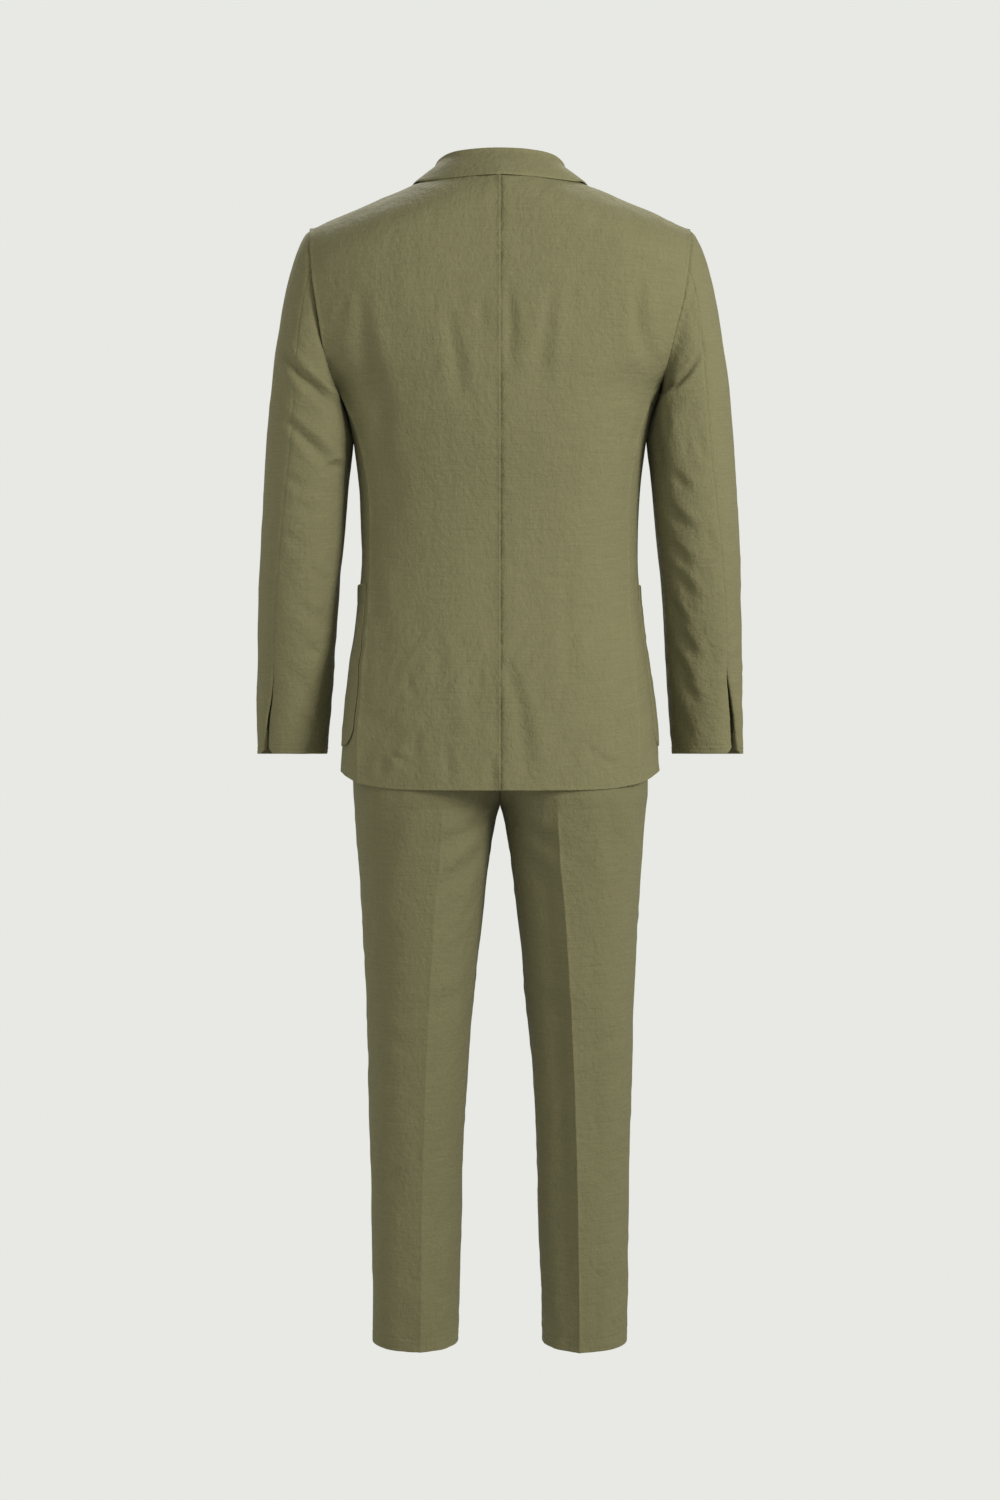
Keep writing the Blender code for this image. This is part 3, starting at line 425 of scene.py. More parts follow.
def side_grid(back_edge, front_edge):
    """The left side panel between the two edges, columns from the back seam forwards."""
    shares = spread(SIDE_WIDTH, cell=SIDE_CELL) / SIDE_WIDTH
    psis = ARM_BACK_PSI + 2 * math.pi + (ARM_FRONT_PSI - ARM_BACK_PSI - 2 * math.pi) * shares
    behind = np.cos(psis) > 0
    top = np.where(behind[:, None], armhole_point(psis, 1), armhole_point(psis, -1))
    angle_top = np.where(behind, body_angle(top[:, 0], top[:, 2], 1), body_angle(top[:, 0], top[:, 2], -1))
    upper, lower = low_rows()
    rows = [top]
    for t in upper:
        z = top[:, 2] + (SIDE_TOP_Z - top[:, 2]) * t
        start = body_angle(read(LOW_SEAMS, "back", z), z, 1)
        end = body_angle(read(LOW_SEAMS, "front", z), z, -1)
        angle = angle_top + (start + (end - start) * shares - angle_top) * smooth(t)
        rows.append(at_angle(angle, z))
    for t in lower:
        level = SIDE_TOP_Z + (HEM_SIDE_Z - SIDE_TOP_Z) * t
        start = body_angle(read(LOW_SEAMS, "back", level), level, 1)
        end = body_angle(read(LOW_SEAMS, "front", level), level, -1)
        angle = start + (end - start) * shares
        rows.append(at_angle(angle, SIDE_TOP_Z + (hem_z(angle) - SIDE_TOP_Z) * t))
    grid = np.array(rows)
    for column, edge in ((0, back_edge), (-1, front_edge)):
        weight = (1 - shares if column == 0 else shares) ** 2
        grid += (edge - grid[:, column])[:, None, :] * weight[None, :, None]
    return grid


def sleeve_point(psi, z):
    """The sleeve's surface at an angle round it: 0 is behind, 90 degrees outwards."""
    x = read(SLEEVE, "x", z) + read(SLEEVE, "half_width", z) * power(np.sin(psi), 2 / SLEEVE_ROUNDNESS)
    y = read(SLEEVE, "y", z) + read(SLEEVE, "half_depth", z) * power(np.cos(psi), 2 / SLEEVE_ROUNDNESS)
    return np.stack(np.broadcast_arrays(x, y, z), -1)


def armhole_any(psi):
    """Points of the armhole for any angle, behind or before."""
    behind = (np.cos(psi) >= 0)[:, None]
    return np.where(behind, armhole_point(psi, 1), armhole_point(psi, -1))


def sleeve_grid(arm_psis, under):
    """The upper or under sleeve: rows down from the armhole, columns between its two seams."""
    shares = spread(UNDER_WIDTH if under else UPPER_WIDTH, cell=SLEEVE_CELL)
    shares = shares / shares[-1]
    arm_psi = np.interp(shares, np.linspace(0, 1, len(arm_psis)), arm_psis)

    def around(z):
        start, end = read(SLEEVE, "back_seam", z), read(SLEEVE, "front_seam", z)
        if under:
            start, end = end, start + 360
        return np.radians(start + (end - start) * shares)

    begin = armhole_any(arm_psi) + (ARM_GAP, 0, 0)
    end = sleeve_point(around(CAP_Z), np.full(len(shares), CAP_Z))
    reach = np.linalg.norm(end - begin, axis=-1, keepdims=True)
    high = ((1 + np.sin(arm_psi)) / 2)[:, None]
    leave = unit(high * CAP_LEAVES_HIGH + (1 - high) * CAP_LEAVES_LOW) * reach * CAP_START
    further = sleeve_point(around(CAP_Z), np.full(len(shares), CAP_Z - CAP_AIM))
    arrive = unit(further - end) * reach * CAP_END
    steps = np.concatenate((CAP_FIRST_ROWS, np.linspace(CAP_NEXT_ROW, 1, CAP_ROWS)))
    rows = [curve(t, begin, leave, end, arrive) for t in steps]
    length = CAP_Z - CUFF_Z
    for down in spread(length, marks=[length - stitch for stitch in CUFF_STITCH])[1:]:
        if down > CELL / 2:
            z = CAP_Z - down
            rows.append(sleeve_point(around(z), np.full(len(shares), z)))
    return np.array(rows)


def leg_point(angle, z):
    """The left leg's surface: 0 is behind, 90 degrees outwards, -90 the inner seam."""
    inner, outer = read(LEG, "inner", z), read(LEG, "outer", z)
    x = (inner + outer) / 2 + (outer - inner) / 2 * power(np.sin(angle), 2 / LEG_ROUNDNESS)
    depth = np.where(np.cos(angle) > 0, read(LEG, "back", z), read(LEG, "front", z))
    return np.stack(np.broadcast_arrays(x, depth * power(np.cos(angle), 2 / LEG_ROUNDNESS), z), -1)


def leg_angle(x, z):
    """Angle round a leg's back at x, or at its inner seam where x is further in."""
    inner, outer = read(LEG, "inner", z), read(LEG, "outer", z)
    ratio = (2 * x - inner - outer) / (outer - inner)
    return np.arcsin(power(np.clip(ratio, -1.0, 1.0), LEG_ROUNDNESS / 2))


def leg_grid(side, heights, sharpness=1.0):
    """A leg's back or front, rows at the heights, columns from the inner to the side seam."""
    shares = spread(HALF_LEG_WIDTH, cell=LEG_CELL) / HALF_LEG_WIDTH
    z = np.asarray(heights, float)[:, None]
    start, crease = leg_angle(0.0, z), leg_angle(read(LEG, "crease_x", z) - CREASE_IN, z)
    angles = np.concatenate((start + (crease - start) * shares,
                             crease + (math.pi / 2 - crease) * shares[1:]), axis=1)
    points = leg_point(angles if side > 0 else math.pi - angles, z)
    beside = np.where(angles < crease, crease - start, math.pi / 2 - crease) / CREASE_CELLS
    tent = np.clip(1 - np.abs(angles - crease) / np.maximum(beside, 1e-6), 0, 1) ** CREASE_SHAPE
    points[..., 1] += side * read(LEG, "crease_rise", z) * sharpness * tent
    return points


# ---- folds ----

# Larger folds, placed one by one. Each runs from x1, z1 to x2, z2 on the back (side 1) or the front
# # (side -1), with a half width, a depth, a sideways bow and the height of the ridges beside it.
# Columns: side, x1, z1, x2, z2, half, deep, bow, ridge
FOLDS = {
    "body": (
        # Behind: long soft troughs from the shoulder blades, and a fan at the hem.
        (1, 0.181, -0.163, 0.184, -0.190, 0.006, 0.0018, 0, 0.35),
        (1, 0.163, -0.162, 0.136, -0.312, 0.012, 0.0040, -0.04, 0.35),
        (1, 0.137, -0.290, 0.143, -0.377, 0.011, 0.0026, 0, 0.35),
        (1, 0.061, -0.185, 0.043, -0.290, 0.009, 0.0028, 0, 0.35),
        (1, 0.023, -0.168, 0.021, -0.212, 0.007, 0.0012, 0, 0.35),
        (1, -0.009, -0.155, -0.011, -0.262, 0.008, 0.0030, 0.02, 0.35),
        (1, -0.061, -0.155, -0.046, -0.265, 0.009, 0.0028, 0, 0.35),
        (1, -0.165, -0.150, -0.178, -0.242, 0.009, 0.0036, -0.10, 0.35),
        (1, -0.140, -0.290, -0.140, -0.370, 0.007, 0.0012, 0, 0.35),
        (1, 0.122, -0.350, 0.135, -0.420, 0.013, 0.0014, 0, 0.35),
        (1, -0.006, -0.590, -0.030, -0.735, 0.009, 0.0032, 0.05, 0.35),
        (1, 0.010, -0.706, 0.009, -0.742, 0.006, 0.0022, 0, 0.35),
        (1, 0.107, -0.603, 0.103, -0.634, 0.004, 0.0016, 0, 0.35),
        (1, 0.127, -0.699, 0.106, -0.710, 0.0036, 0.0030, 0, 0.35),
        (1, 0.139, -0.700, 0.136, -0.722, 0.0060, 0.0016, 0, 0.35),
        (1, 0.094, -0.672, 0.104, -0.716, 0.0080, 0.0018, 0, 0.35),
        (1, 0.062, -0.690, 0.058, -0.728, 0.0060, 0.0015, 0, 0.35),
        (1, -0.117, -0.703, -0.134, -0.712, 0.0034, 0.0026, 0, 0.35),
        (1, -0.103, -0.692, -0.111, -0.702, 0.004, 0.0018, 0, 0.35),
        (1, -0.084, -0.684, -0.081, -0.716, 0.0060, 0.0013, 0, 0.35),
        (1, 0.022, -0.600, 0.024, -0.622, 0.004, 0.0014, 0, 0.35),
        (1, 0.150, -0.480, 0.140, -0.600, 0.012, 0.0016, 0, 0.35),
        (1, -0.075, -0.500, -0.082, -0.620, 0.010, 0.0012, 0, 0.35),
        (1, 0.075, -0.560, 0.060, -0.700, 0.011, 0.0014, 0, 0.35),
        # Before: drag lines towards the button and soft folds below the chest.
        (-1, 0.040, -0.400, 0.120, -0.350, 0.009, 0.0020, 0.10, 0.35),
        (-1, 0.036, -0.432, 0.115, -0.470, 0.009, 0.0018, -0.08, 0.35),
        (-1, -0.045, -0.405, -0.118, -0.352, 0.009, 0.0018, -0.10, 0.35),
        (-1, -0.040, -0.436, -0.108, -0.480, 0.009, 0.0016, 0.08, 0.35),
        (-1, 0.168, -0.150, 0.158, -0.275, 0.012, 0.0036, 0, 0.35),
        (-1, -0.170, -0.150, -0.158, -0.265, 0.012, 0.0032, 0, 0.35),
        (-1, 0.150, -0.240, 0.140, -0.330, 0.008, 0.0016, 0, 0.35),
        (-1, -0.147, -0.250, -0.136, -0.345, 0.008, 0.0014, 0, 0.35),
    ),
    "left_sleeve": (  # two diagonal creases at the elbow's bend, and weaker ones below
        (1, 0.257, -0.218, 0.200, -0.288, 0.0060, 0.0058, -0.06, 0.6),
        (1, 0.226, -0.256, 0.196, -0.290, 0.0055, 0.0034, 0, 0.8),
        (1, 0.254, -0.304, 0.195, -0.367, 0.0068, 0.0052, 0.02, 0.6),
        (1, 0.203, -0.361, 0.188, -0.356, 0.0042, 0.0044, 0, 0.7),
        (1, 0.251, -0.373, 0.229, -0.388, 0.0060, 0.0026, 0, 0.35),
        (1, 0.243, -0.405, 0.216, -0.415, 0.0070, 0.0018, -0.05, 0.35),
        (1, 0.256, -0.440, 0.229, -0.458, 0.0070, 0.0017, 0, 0.35),
        (1, 0.262, -0.150, 0.250, -0.205, 0.0080, 0.0012, 0, 0.35),
        (1, 0.225, -0.475, 0.207, -0.500, 0.0060, 0.0018, 0, 0.35),
        (1, 0.240, -0.520, 0.214, -0.545, 0.0080, 0.0018, 0, 0.35),
        (1, 0.228, -0.570, 0.212, -0.588, 0.0060, 0.0016, 0, 0.35),
        (1, 0.247, -0.600, 0.222, -0.640, 0.0080, 0.0015, 0, 0.35),
        (1, 0.236, -0.655, 0.218, -0.668, 0.0060, 0.0013, 0, 0.35),
    ),
    "right_sleeve": (  # a sharp tuck at the armpit and crumples down the inner side
        (1, -0.225, -0.170, -0.243, -0.238, 0.0032, 0.0010, 0, 0.35),
        (1, -0.235, -0.229, -0.190, -0.272, 0.0038, 0.0052, 0.10, 0.7),
        (1, -0.201, -0.260, -0.187, -0.274, 0.0048, 0.0050, 0, 0.8),
        (1, -0.184, -0.288, -0.187, -0.372, 0.0085, 0.0060, 0, 0.35),
        (1, -0.197, -0.290, -0.200, -0.330, 0.0040, 0.0022, 0, 0.6),
        (1, -0.206, -0.366, -0.220, -0.390, 0.0055, 0.0030, 0, 0.7),
        (1, -0.232, -0.312, -0.240, -0.352, 0.0050, 0.0018, 0, 0.35),
        (1, -0.218, -0.325, -0.223, -0.352, 0.0045, 0.0014, 0, 0.35),
        (1, -0.198, -0.400, -0.225, -0.436, 0.0060, 0.0036, -0.06, 0.7),
        (1, -0.200, -0.448, -0.222, -0.478, 0.0055, 0.0034, 0.05, 0.6),
        (1, -0.206, -0.480, -0.228, -0.518, 0.0060, 0.0030, 0.04, 0.6),
        (1, -0.203, -0.515, -0.217, -0.548, 0.0055, 0.0036, 0, 0.6),
        (1, -0.212, -0.548, -0.234, -0.585, 0.0060, 0.0028, -0.05, 0.6),
        (1, -0.208, -0.580, -0.226, -0.622, 0.0065, 0.0036, 0, 0.6),
        (1, -0.216, -0.612, -0.236, -0.640, 0.0060, 0.0026, 0, 0.6),
        (1, -0.212, -0.645, -0.226, -0.685, 0.0065, 0.0020, 0, 0.35),
        (1, -0.244, -0.430, -0.252, -0.470, 0.0060, 0.0014, 0, 0.35),
        (1, -0.243, -0.560, -0.252, -0.600, 0.0060, 0.0012, 0, 0.35),
    ),
    "leg": (  # the right leg caves in inside its crease
        (1, -0.046, -0.800, -0.072, -1.080, 0.0150, 0.0036, 0, 0.15),
        (1, -0.066, -1.000, -0.078, -1.390, 0.0150, 0.0034, 0, 0.15),
    ),
}
# Folds that both sleeves or both legs have, given for the left one. The last column is the right
# one's depth as a share of the left one's.
PAIRED_FOLDS = {
    "sleeve": (  # creases inside the elbow
        (-1, 0.258, -0.230, 0.206, -0.285, 0.0100, 0.0040, 0.05, 0.35, 0.9),
        (-1, 0.200, -0.372, 0.262, -0.400, 0.0085, 0.0040, 0.10, 0.5, 1),
        (-1, 0.206, -0.420, 0.268, -0.436, 0.0080, 0.0034, 0.06, 0.35, 0.9),
        (-1, 0.214, -0.470, 0.270, -0.470, 0.0080, 0.0020, -0.05, 0.35, 1),
        (-1, 0.215, -0.330, 0.262, -0.345, 0.0090, 0.0020, 0, 0.35, 0.9),
    ),
    "leg": (  # drag folds from the fork and soft breaks at the knee
        (1, 0.016, -0.775, 0.080, -0.812, 0.0100, 0.0030, 0.05, 0.35, 0.85),
        (1, 0.022, -0.800, 0.066, -0.858, 0.0100, 0.0028, 0.07, 0.35, 0.85),
        (1, 0.120, -0.740, 0.145, -0.850, 0.0130, 0.0022, 0, 0.35, 1),
        (1, 0.050, -0.985, 0.105, -1.010, 0.0120, 0.0018, 0, 0.35, 0.85),
        (1, 0.140, -1.030, 0.100, -1.050, 0.0110, 0.0014, 0, 0.35, 1),
        (1, 0.128, -0.900, 0.140, -0.990, 0.0120, 0.0012, 0, 0.35, 0.85),
        (1, 0.124, -1.140, 0.131, -1.260, 0.0110, 0.0012, 0, 0.35, 1),
        (1, 0.062, -1.180, 0.072, -1.290, 0.0090, 0.0012, 0, 0.35, 0.85),
        (-1, 0.010, -0.760, 0.080, -0.720, 0.0110, 0.0030, 0.05, 0.35, 1),
        (-1, 0.014, -0.785, 0.075, -0.775, 0.0100, 0.0024, 0, 0.35, 0.85),
        (-1, 0.060, -0.990, 0.130, -0.975, 0.0130, 0.0016, 0, 0.35, 1),
        (-1, 0.065, -1.030, 0.120, -1.050, 0.0110, 0.0014, 0, 0.35, 0.85),
    ),
}
PAIRED_ON = {"body": (), "left_sleeve": (1,), "right_sleeve": (-1,), "leg": (1, -1)}


def folds_of(part):
    """Rows of one part's folds, with those that both sides have."""
    rows = list(FOLDS[part])
    for sign in PAIRED_ON[part]:
        for side, x1, z1, x2, z2, half, deep, bow, ridge, share in PAIRED_FOLDS[part.split("_")[-1]]:
            own = deep if sign > 0 else deep * share
            rows.append((side, sign * x1, z1, sign * x2, z2, half, own, sign * bow, ridge))
    return rows


FACING_FROM, FACING_OVER = 0.02, 0.45  # a fold shows where the cloth faces its side by more than this
FOLD_NARROW, FOLD_WIDENS = 0.72, 0.5  # its width at the first end, and how much it gains to the second
FOLD_END, FOLD_EVEN, FOLD_BEYOND = 0.06, 0.8, 1.4  # its depth at the ends, how evenly it rises, and its reach
RIDGE_AT, RIDGE_WIDTH, FAR_RIDGE = 1.8, 0.9, 0.6  # the ridges beside it, and the further one's share


def folds_on(points, normals, part):
    """How far the folds of one part push each point in, seen from behind and from the front."""
    push = np.zeros(points.shape[:-1])
    x, z = points[..., 0], points[..., 2]
    for side, x1, z1, x2, z2, half, deep, bow, ridge in folds_of(part):
        facing = smooth((side * normals[..., 1] - FACING_FROM) / FACING_OVER)
        length = math.hypot(x2 - x1, z2 - z1)
        ux, uz = (x2 - x1) / length, (z2 - z1) / length
        along = ((x - x1) * ux + (z - z1) * uz) / length
        inside = np.clip(along, 0, 1)
        off = (x - x1) * uz - (z - z1) * ux - bow * length * 4 * inside * (1 - inside)
        beyond = (along - inside) * length
        d = np.sign(off) * np.hypot(off, beyond) / (half * (FOLD_NARROW + FOLD_WIDENS * inside))
        fade = np.sin(math.pi * (FOLD_END + (1 - 2 * FOLD_END) * inside)) ** FOLD_EVEN
        fade = fade * np.exp(-(beyond / (FOLD_BEYOND * half)) ** 2)
        near = np.exp(-((d - RIDGE_AT) / RIDGE_WIDTH) ** 2)
        far = np.exp(-((d + RIDGE_AT) / RIDGE_WIDTH) ** 2)
        shape = np.exp(-d * d) - ridge * (near + FAR_RIDGE * far)
        push += deep * fade * shape * facing
    return push


# The linen's small creases: how deep each kind is, and where and how much more there are low down.
CRUMPLE = {"broad": 0.0010, "middle": 0.00078, "diagonal": 0.00066, "ticks": 0.00042, "low_ticks": 0.00046}
LOW_FROM_Z, LOW_OVER, LOW_MORE = -0.42, 0.20, 0.85
LEGS_LESS, LEGS_OVER = 0.63, 0.06  # the legs below the jacket have less of that again
AMOUNT, AMOUNT_VARIES, PATCHES_FROM = 0.55, 0.45, 0.35
RIPPLES = {  # the linen's unevenness: the size of each kind along x, y and z, and its seed
    "broad": ((0.045, 0.045, 0.090), 3),
    "middle": ((0.016, 0.016, 0.042), 11),
    "diagonal": ((0.020, 0.030, 0.055), 23),
    "amount": ((0.11, 0.11, 0.11), 31),
    "ticks": ((0.0075, 0.012, 0.022), 59),
    "patches": ((0.05, 0.05, 0.07), 67),
    "pucker": ((0.009, 0.009, 0.009), 47),
}
SLANT = np.array(((0.8, 0, 0.6), (0, 1, 0), (-0.6, 0, 0.8)))
LATTICE_PRIMES = np.array((73856093, 19349663, 83492791))


def lattice(cells, seed):
    """A random value for each cell of an endless lattice."""
    x, y, z = np.moveaxis(cells * LATTICE_PRIMES, -1, 0)
    mixed = x ^ y ^ z ^ (seed * 2654435)
    mixed = (mixed ^ (mixed >> 13)) * 1274126177 & 0x7FFFFFFF
    return ((mixed ^ (mixed >> 16)) & 0xFFFF) / 32767.5 - 1


def ripple(points, kind):
    """Soft noise between -1 and 1, of one kind of the ripples."""
    size, seed = RIPPLES[kind]
    scaled = points / np.array(size)
    base = np.floor(scaled).astype(np.int64)
    t = scaled - base
    t = t * t * (3 - 2 * t)
    total = 0.0
    for corner in np.ndindex(2, 2, 2):
        weight = np.prod(np.where(np.array(corner) == 1, t, 1 - t), axis=-1)
        total = total + weight * lattice(base + np.array(corner), seed)
    return total


def crumple(points):
    """Shallow creases that the linen keeps all over, uneven in size and depth, more of them low down."""
    slanted = points @ SLANT.T
    broad, middle = ripple(points, "broad"), ripple(points, "middle")
    diagonal = 1 - np.abs(ripple(slanted, "diagonal")) * 2
    ticks = ripple(slanted, "ticks") * smooth(ripple(points, "patches") + PATCHES_FROM)
    low = smooth((LOW_FROM_Z - points[..., 2]) / LOW_OVER)
    loose = low * (1 - LEGS_LESS * smooth((HEM_SIDE_Z - points[..., 2]) / LEGS_OVER))
    amount = (AMOUNT + AMOUNT_VARIES * ripple(points, "amount")) * (1 + LOW_MORE * loose)
    uneven = amount * (CRUMPLE["middle"] * middle + CRUMPLE["diagonal"] * diagonal)
    return CRUMPLE["broad"] * broad + uneven + (CRUMPLE["ticks"] + CRUMPLE["low_ticks"] * low) * ticks


# ---- from points to pieces ----

def grid_normals(grid, outwards_from=0.0):
    """Normals of a grid of points, on the side away from an axis at x."""
    normals = unit(np.cross(np.gradient(grid, axis=0), np.gradient(grid, axis=1)))
    away = grid - np.array((outwards_from, 0, 0))
    away[..., 2] = 0
    return normals if (normals * away).sum() > 0 else -normals


def border(rows, columns):
    """Indices of a grid's outermost points."""
    r, c = np.indices((rows, columns))
    edge = (r == 0) | (c == 0) | (r == rows - 1) | (c == columns - 1)
    return r[edge], c[edge]


def share_normals(grids, normals, flat_centre=False):
    """Makes the normals equal where the pieces' edges meet."""
    total = {}
    for grid, own in zip(grids, normals):
        for r, c in zip(*border(*grid.shape[:2])):
            normal = own[r, c] * (0, 1, 1) if flat_centre and abs(grid[r, c, 0]) < 1e-6 else own[r, c]
            key = tuple(np.round(grid[r, c], 5))
            total[key] = total.get(key, 0) + normal
    for grid, own in zip(grids, normals):
        for r, c in zip(*border(*grid.shape[:2])):
            own[r, c] = unit(total[tuple(np.round(grid[r, c], 5))])


def edge_distances(grid):
    """Distance of each point from the top, bottom, first and last edge, along the cloth."""
    down = np.linalg.norm(np.diff(grid, axis=0), axis=-1)
    across = np.linalg.norm(np.diff(grid, axis=1), axis=-1)
    top = np.concatenate((np.zeros((1, grid.shape[1])), np.cumsum(down, axis=0)))
    first = np.concatenate((np.zeros((grid.shape[0], 1)), np.cumsum(across, axis=1)), axis=1)
    return {"top": top, "bottom": top[-1:] - top, "first": first, "last": first[:, -1:] - first}


def at_distance(grid, normals, along, distance):
    """Points and normals at a distance in from the first row, along each column."""
    points, facing = np.empty_like(grid[0]), np.empty_like(grid[0])
    for column in range(grid.shape[1]):
        for axis in range(3):
            points[column, axis] = np.interp(distance, along[:, column], grid[:, column, axis])
            facing[column, axis] = np.interp(distance, along[:, column], normals[:, column, axis])
    return points, unit(facing)


def turned(grid, normals, edge, profile):
    """The grid and normals with rows or columns added that turn one edge under."""
    if edge in ("first", "last"):
        grid, normals = turned(grid.transpose(1, 0, 2), normals.transpose(1, 0, 2),
                               "top" if edge == "first" else "bottom", profile)
        return grid.transpose(1, 0, 2), normals.transpose(1, 0, 2)
    if edge == "bottom":
        grid, normals = turned(grid[::-1], normals[::-1], "top", profile)
        return grid[::-1], normals[::-1]
    along = edge_distances(grid)["top"]
    outwards = unit(grid[0] - grid[3])
    extra, more = [], []
    for beyond, down in profile:
        points, facing = at_distance(grid, normals, along, max(0.0, -beyond))
        extra.append(points + outwards * max(0.0, beyond) - facing * down)
        more.append(facing)
    return np.concatenate((extra[::-1], grid)), np.concatenate((more[::-1], normals))


def placed(name, data):
    """A new object in the scene."""
    made = bpy.data.objects.new(name, data)
    bpy.context.scene.collection.objects.link(made)
    return made


def mesh_piece(name, points, faces, finish, uv=None, wear_and_highlight=None):
    """A new object from points and faces, with a flat layout in metres and a value for its paler edges,
    partly wear and partly painted highlight.
    """
    mesh = bpy.data.meshes.new(name)
    mesh.from_pydata(points.reshape(-1, 3).tolist(), [], faces.tolist())
    if uv is not None:
        corners = np.empty(len(mesh.loops), np.int32)
        mesh.loops.foreach_get("vertex_index", corners)
        layer = mesh.uv_layers.new(name="cloth")
        layer.data.foreach_set("uv", uv.reshape(-1, 2)[corners].astype(np.float32).ravel())
    if wear_and_highlight is not None:
        worn_and_lit = mesh.attributes.new("wear_and_highlight", "FLOAT", "POINT")
        worn_and_lit.data.foreach_set("value", wear_and_highlight.astype(np.float32).ravel())
    mesh.materials.append(finish)
    mesh.shade_smooth()
    piece = placed(name, mesh)
    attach(piece, BODY_NAME)
    return piece


def quads(rows, columns):
    """Faces of a grid of points."""
    index = np.arange(rows * columns).reshape(rows, columns)
    return np.stack((index[:-1, :-1], index[:-1, 1:], index[1:, 1:], index[1:, :-1]), -1).reshape(-1, 4)


def edged(*kinds):
    """The kinds of a piece's top, bottom, first and last edge, by name."""
    return dict(zip(("top", "bottom", "first", "last"), kinds))


def cloth(node, grid, normals, finish, edges, stitch_lines=None):
    """One piece of linen: furrows at its seams and stitches, and turned edges."""
    distances = edge_distances(grid)
    shaped = grid.copy()
    wear_and_highlight = np.zeros(grid.shape[:2])
    pucker = 1 + PUCKER * ripple(grid, "pucker")
    for edge, kind in edges.items():
        rise, half_width, worn_and_lit = EDGE_LOOKS[kind]
        shaped += normals * (rise * pucker * np.exp(-(distances[edge] / half_width) ** 2))[..., None]
        # the paler edges: partly wear, partly a painted highlight on the folded and raised edges
        wear_and_highlight = np.maximum(wear_and_highlight, worn_and_lit * np.exp(-(distances[edge] / WEAR_AND_HIGHLIGHT_REACH) ** 2))
    for edge, lines in (stitch_lines or {}).items():
        for line in lines:
            off = (distances[edge] - line) / STITCH_SPREAD
            shaped -= normals * (STITCH_DIP * np.exp(-off * off))[..., None]
    across, down = distances["first"], distances["bottom"]
    full, full_normals = shaped, normals
    for edge in ("first", "last", "top", "bottom"):
        kind = edges.get(edge, "none")
        if TURNS[kind]:
            full, full_normals = turned(full, full_normals, edge, TURNS[kind])
    rows, columns = full.shape[:2]
    above, left = (len(TURNS[edges.get(edge, "none")]) for edge in ("top", "first"))
    pad = ((above, rows - above - grid.shape[0]), (left, columns - left - grid.shape[1]))
    uv = np.stack((np.pad(across, pad, "edge"), np.pad(down, pad, "edge")), -1)
    wear_and_highlight = np.pad(wear_and_highlight, pad, "edge")
    faces = quads(rows, columns)
    a, b, c = (full.reshape(-1, 3)[faces[:, i]] for i in (0, 1, 3))
    outward = (np.cross(b - a, c - a) * full_normals.reshape(-1, 3)[faces[:, 0]]).sum()
    if outward < 0:
        faces = faces[:, ::-1]
    piece = mesh_piece("linen_" + node, full, faces, finish, uv, wear_and_highlight)
    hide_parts(node)
    a, b, c, d = (full.reshape(-1, 3)[faces[:, i]] for i in range(4))
    area = np.linalg.norm(np.cross(b - a, c - a), axis=1).sum() / 2
    area += np.linalg.norm(np.cross(c - a, d - a), axis=1).sum() / 2


def right_side(grid):
    """The same points on the wearer's right."""
    return grid * (-1, 1, 1)


SIDES = (("left", np.copy), ("right", right_side))


def drape(grid, normals, part, turn):
    """The grid on its own side of the body, with that side's folds and creases pressed in."""
    grid, normals = turn(grid), turn(normals)
    moved = folds_on(grid, normals, part) - crumple(grid)
    if part != "leg":
        armhole = np.concatenate((arm_rows(1)[1], arm_rows(-1)[1]))[::3]
        offsets = grid[:, :, None, :] - armhole * (np.sign(grid[..., 0].mean()), 1, 1)
        nearest = np.sqrt((offsets ** 2).sum(-1).min(-1))
        moved = moved * (1 - np.exp(-(nearest / ARM_CALM) ** 2))
    return grid - normals * moved[..., None], normals


# ---- materials ----

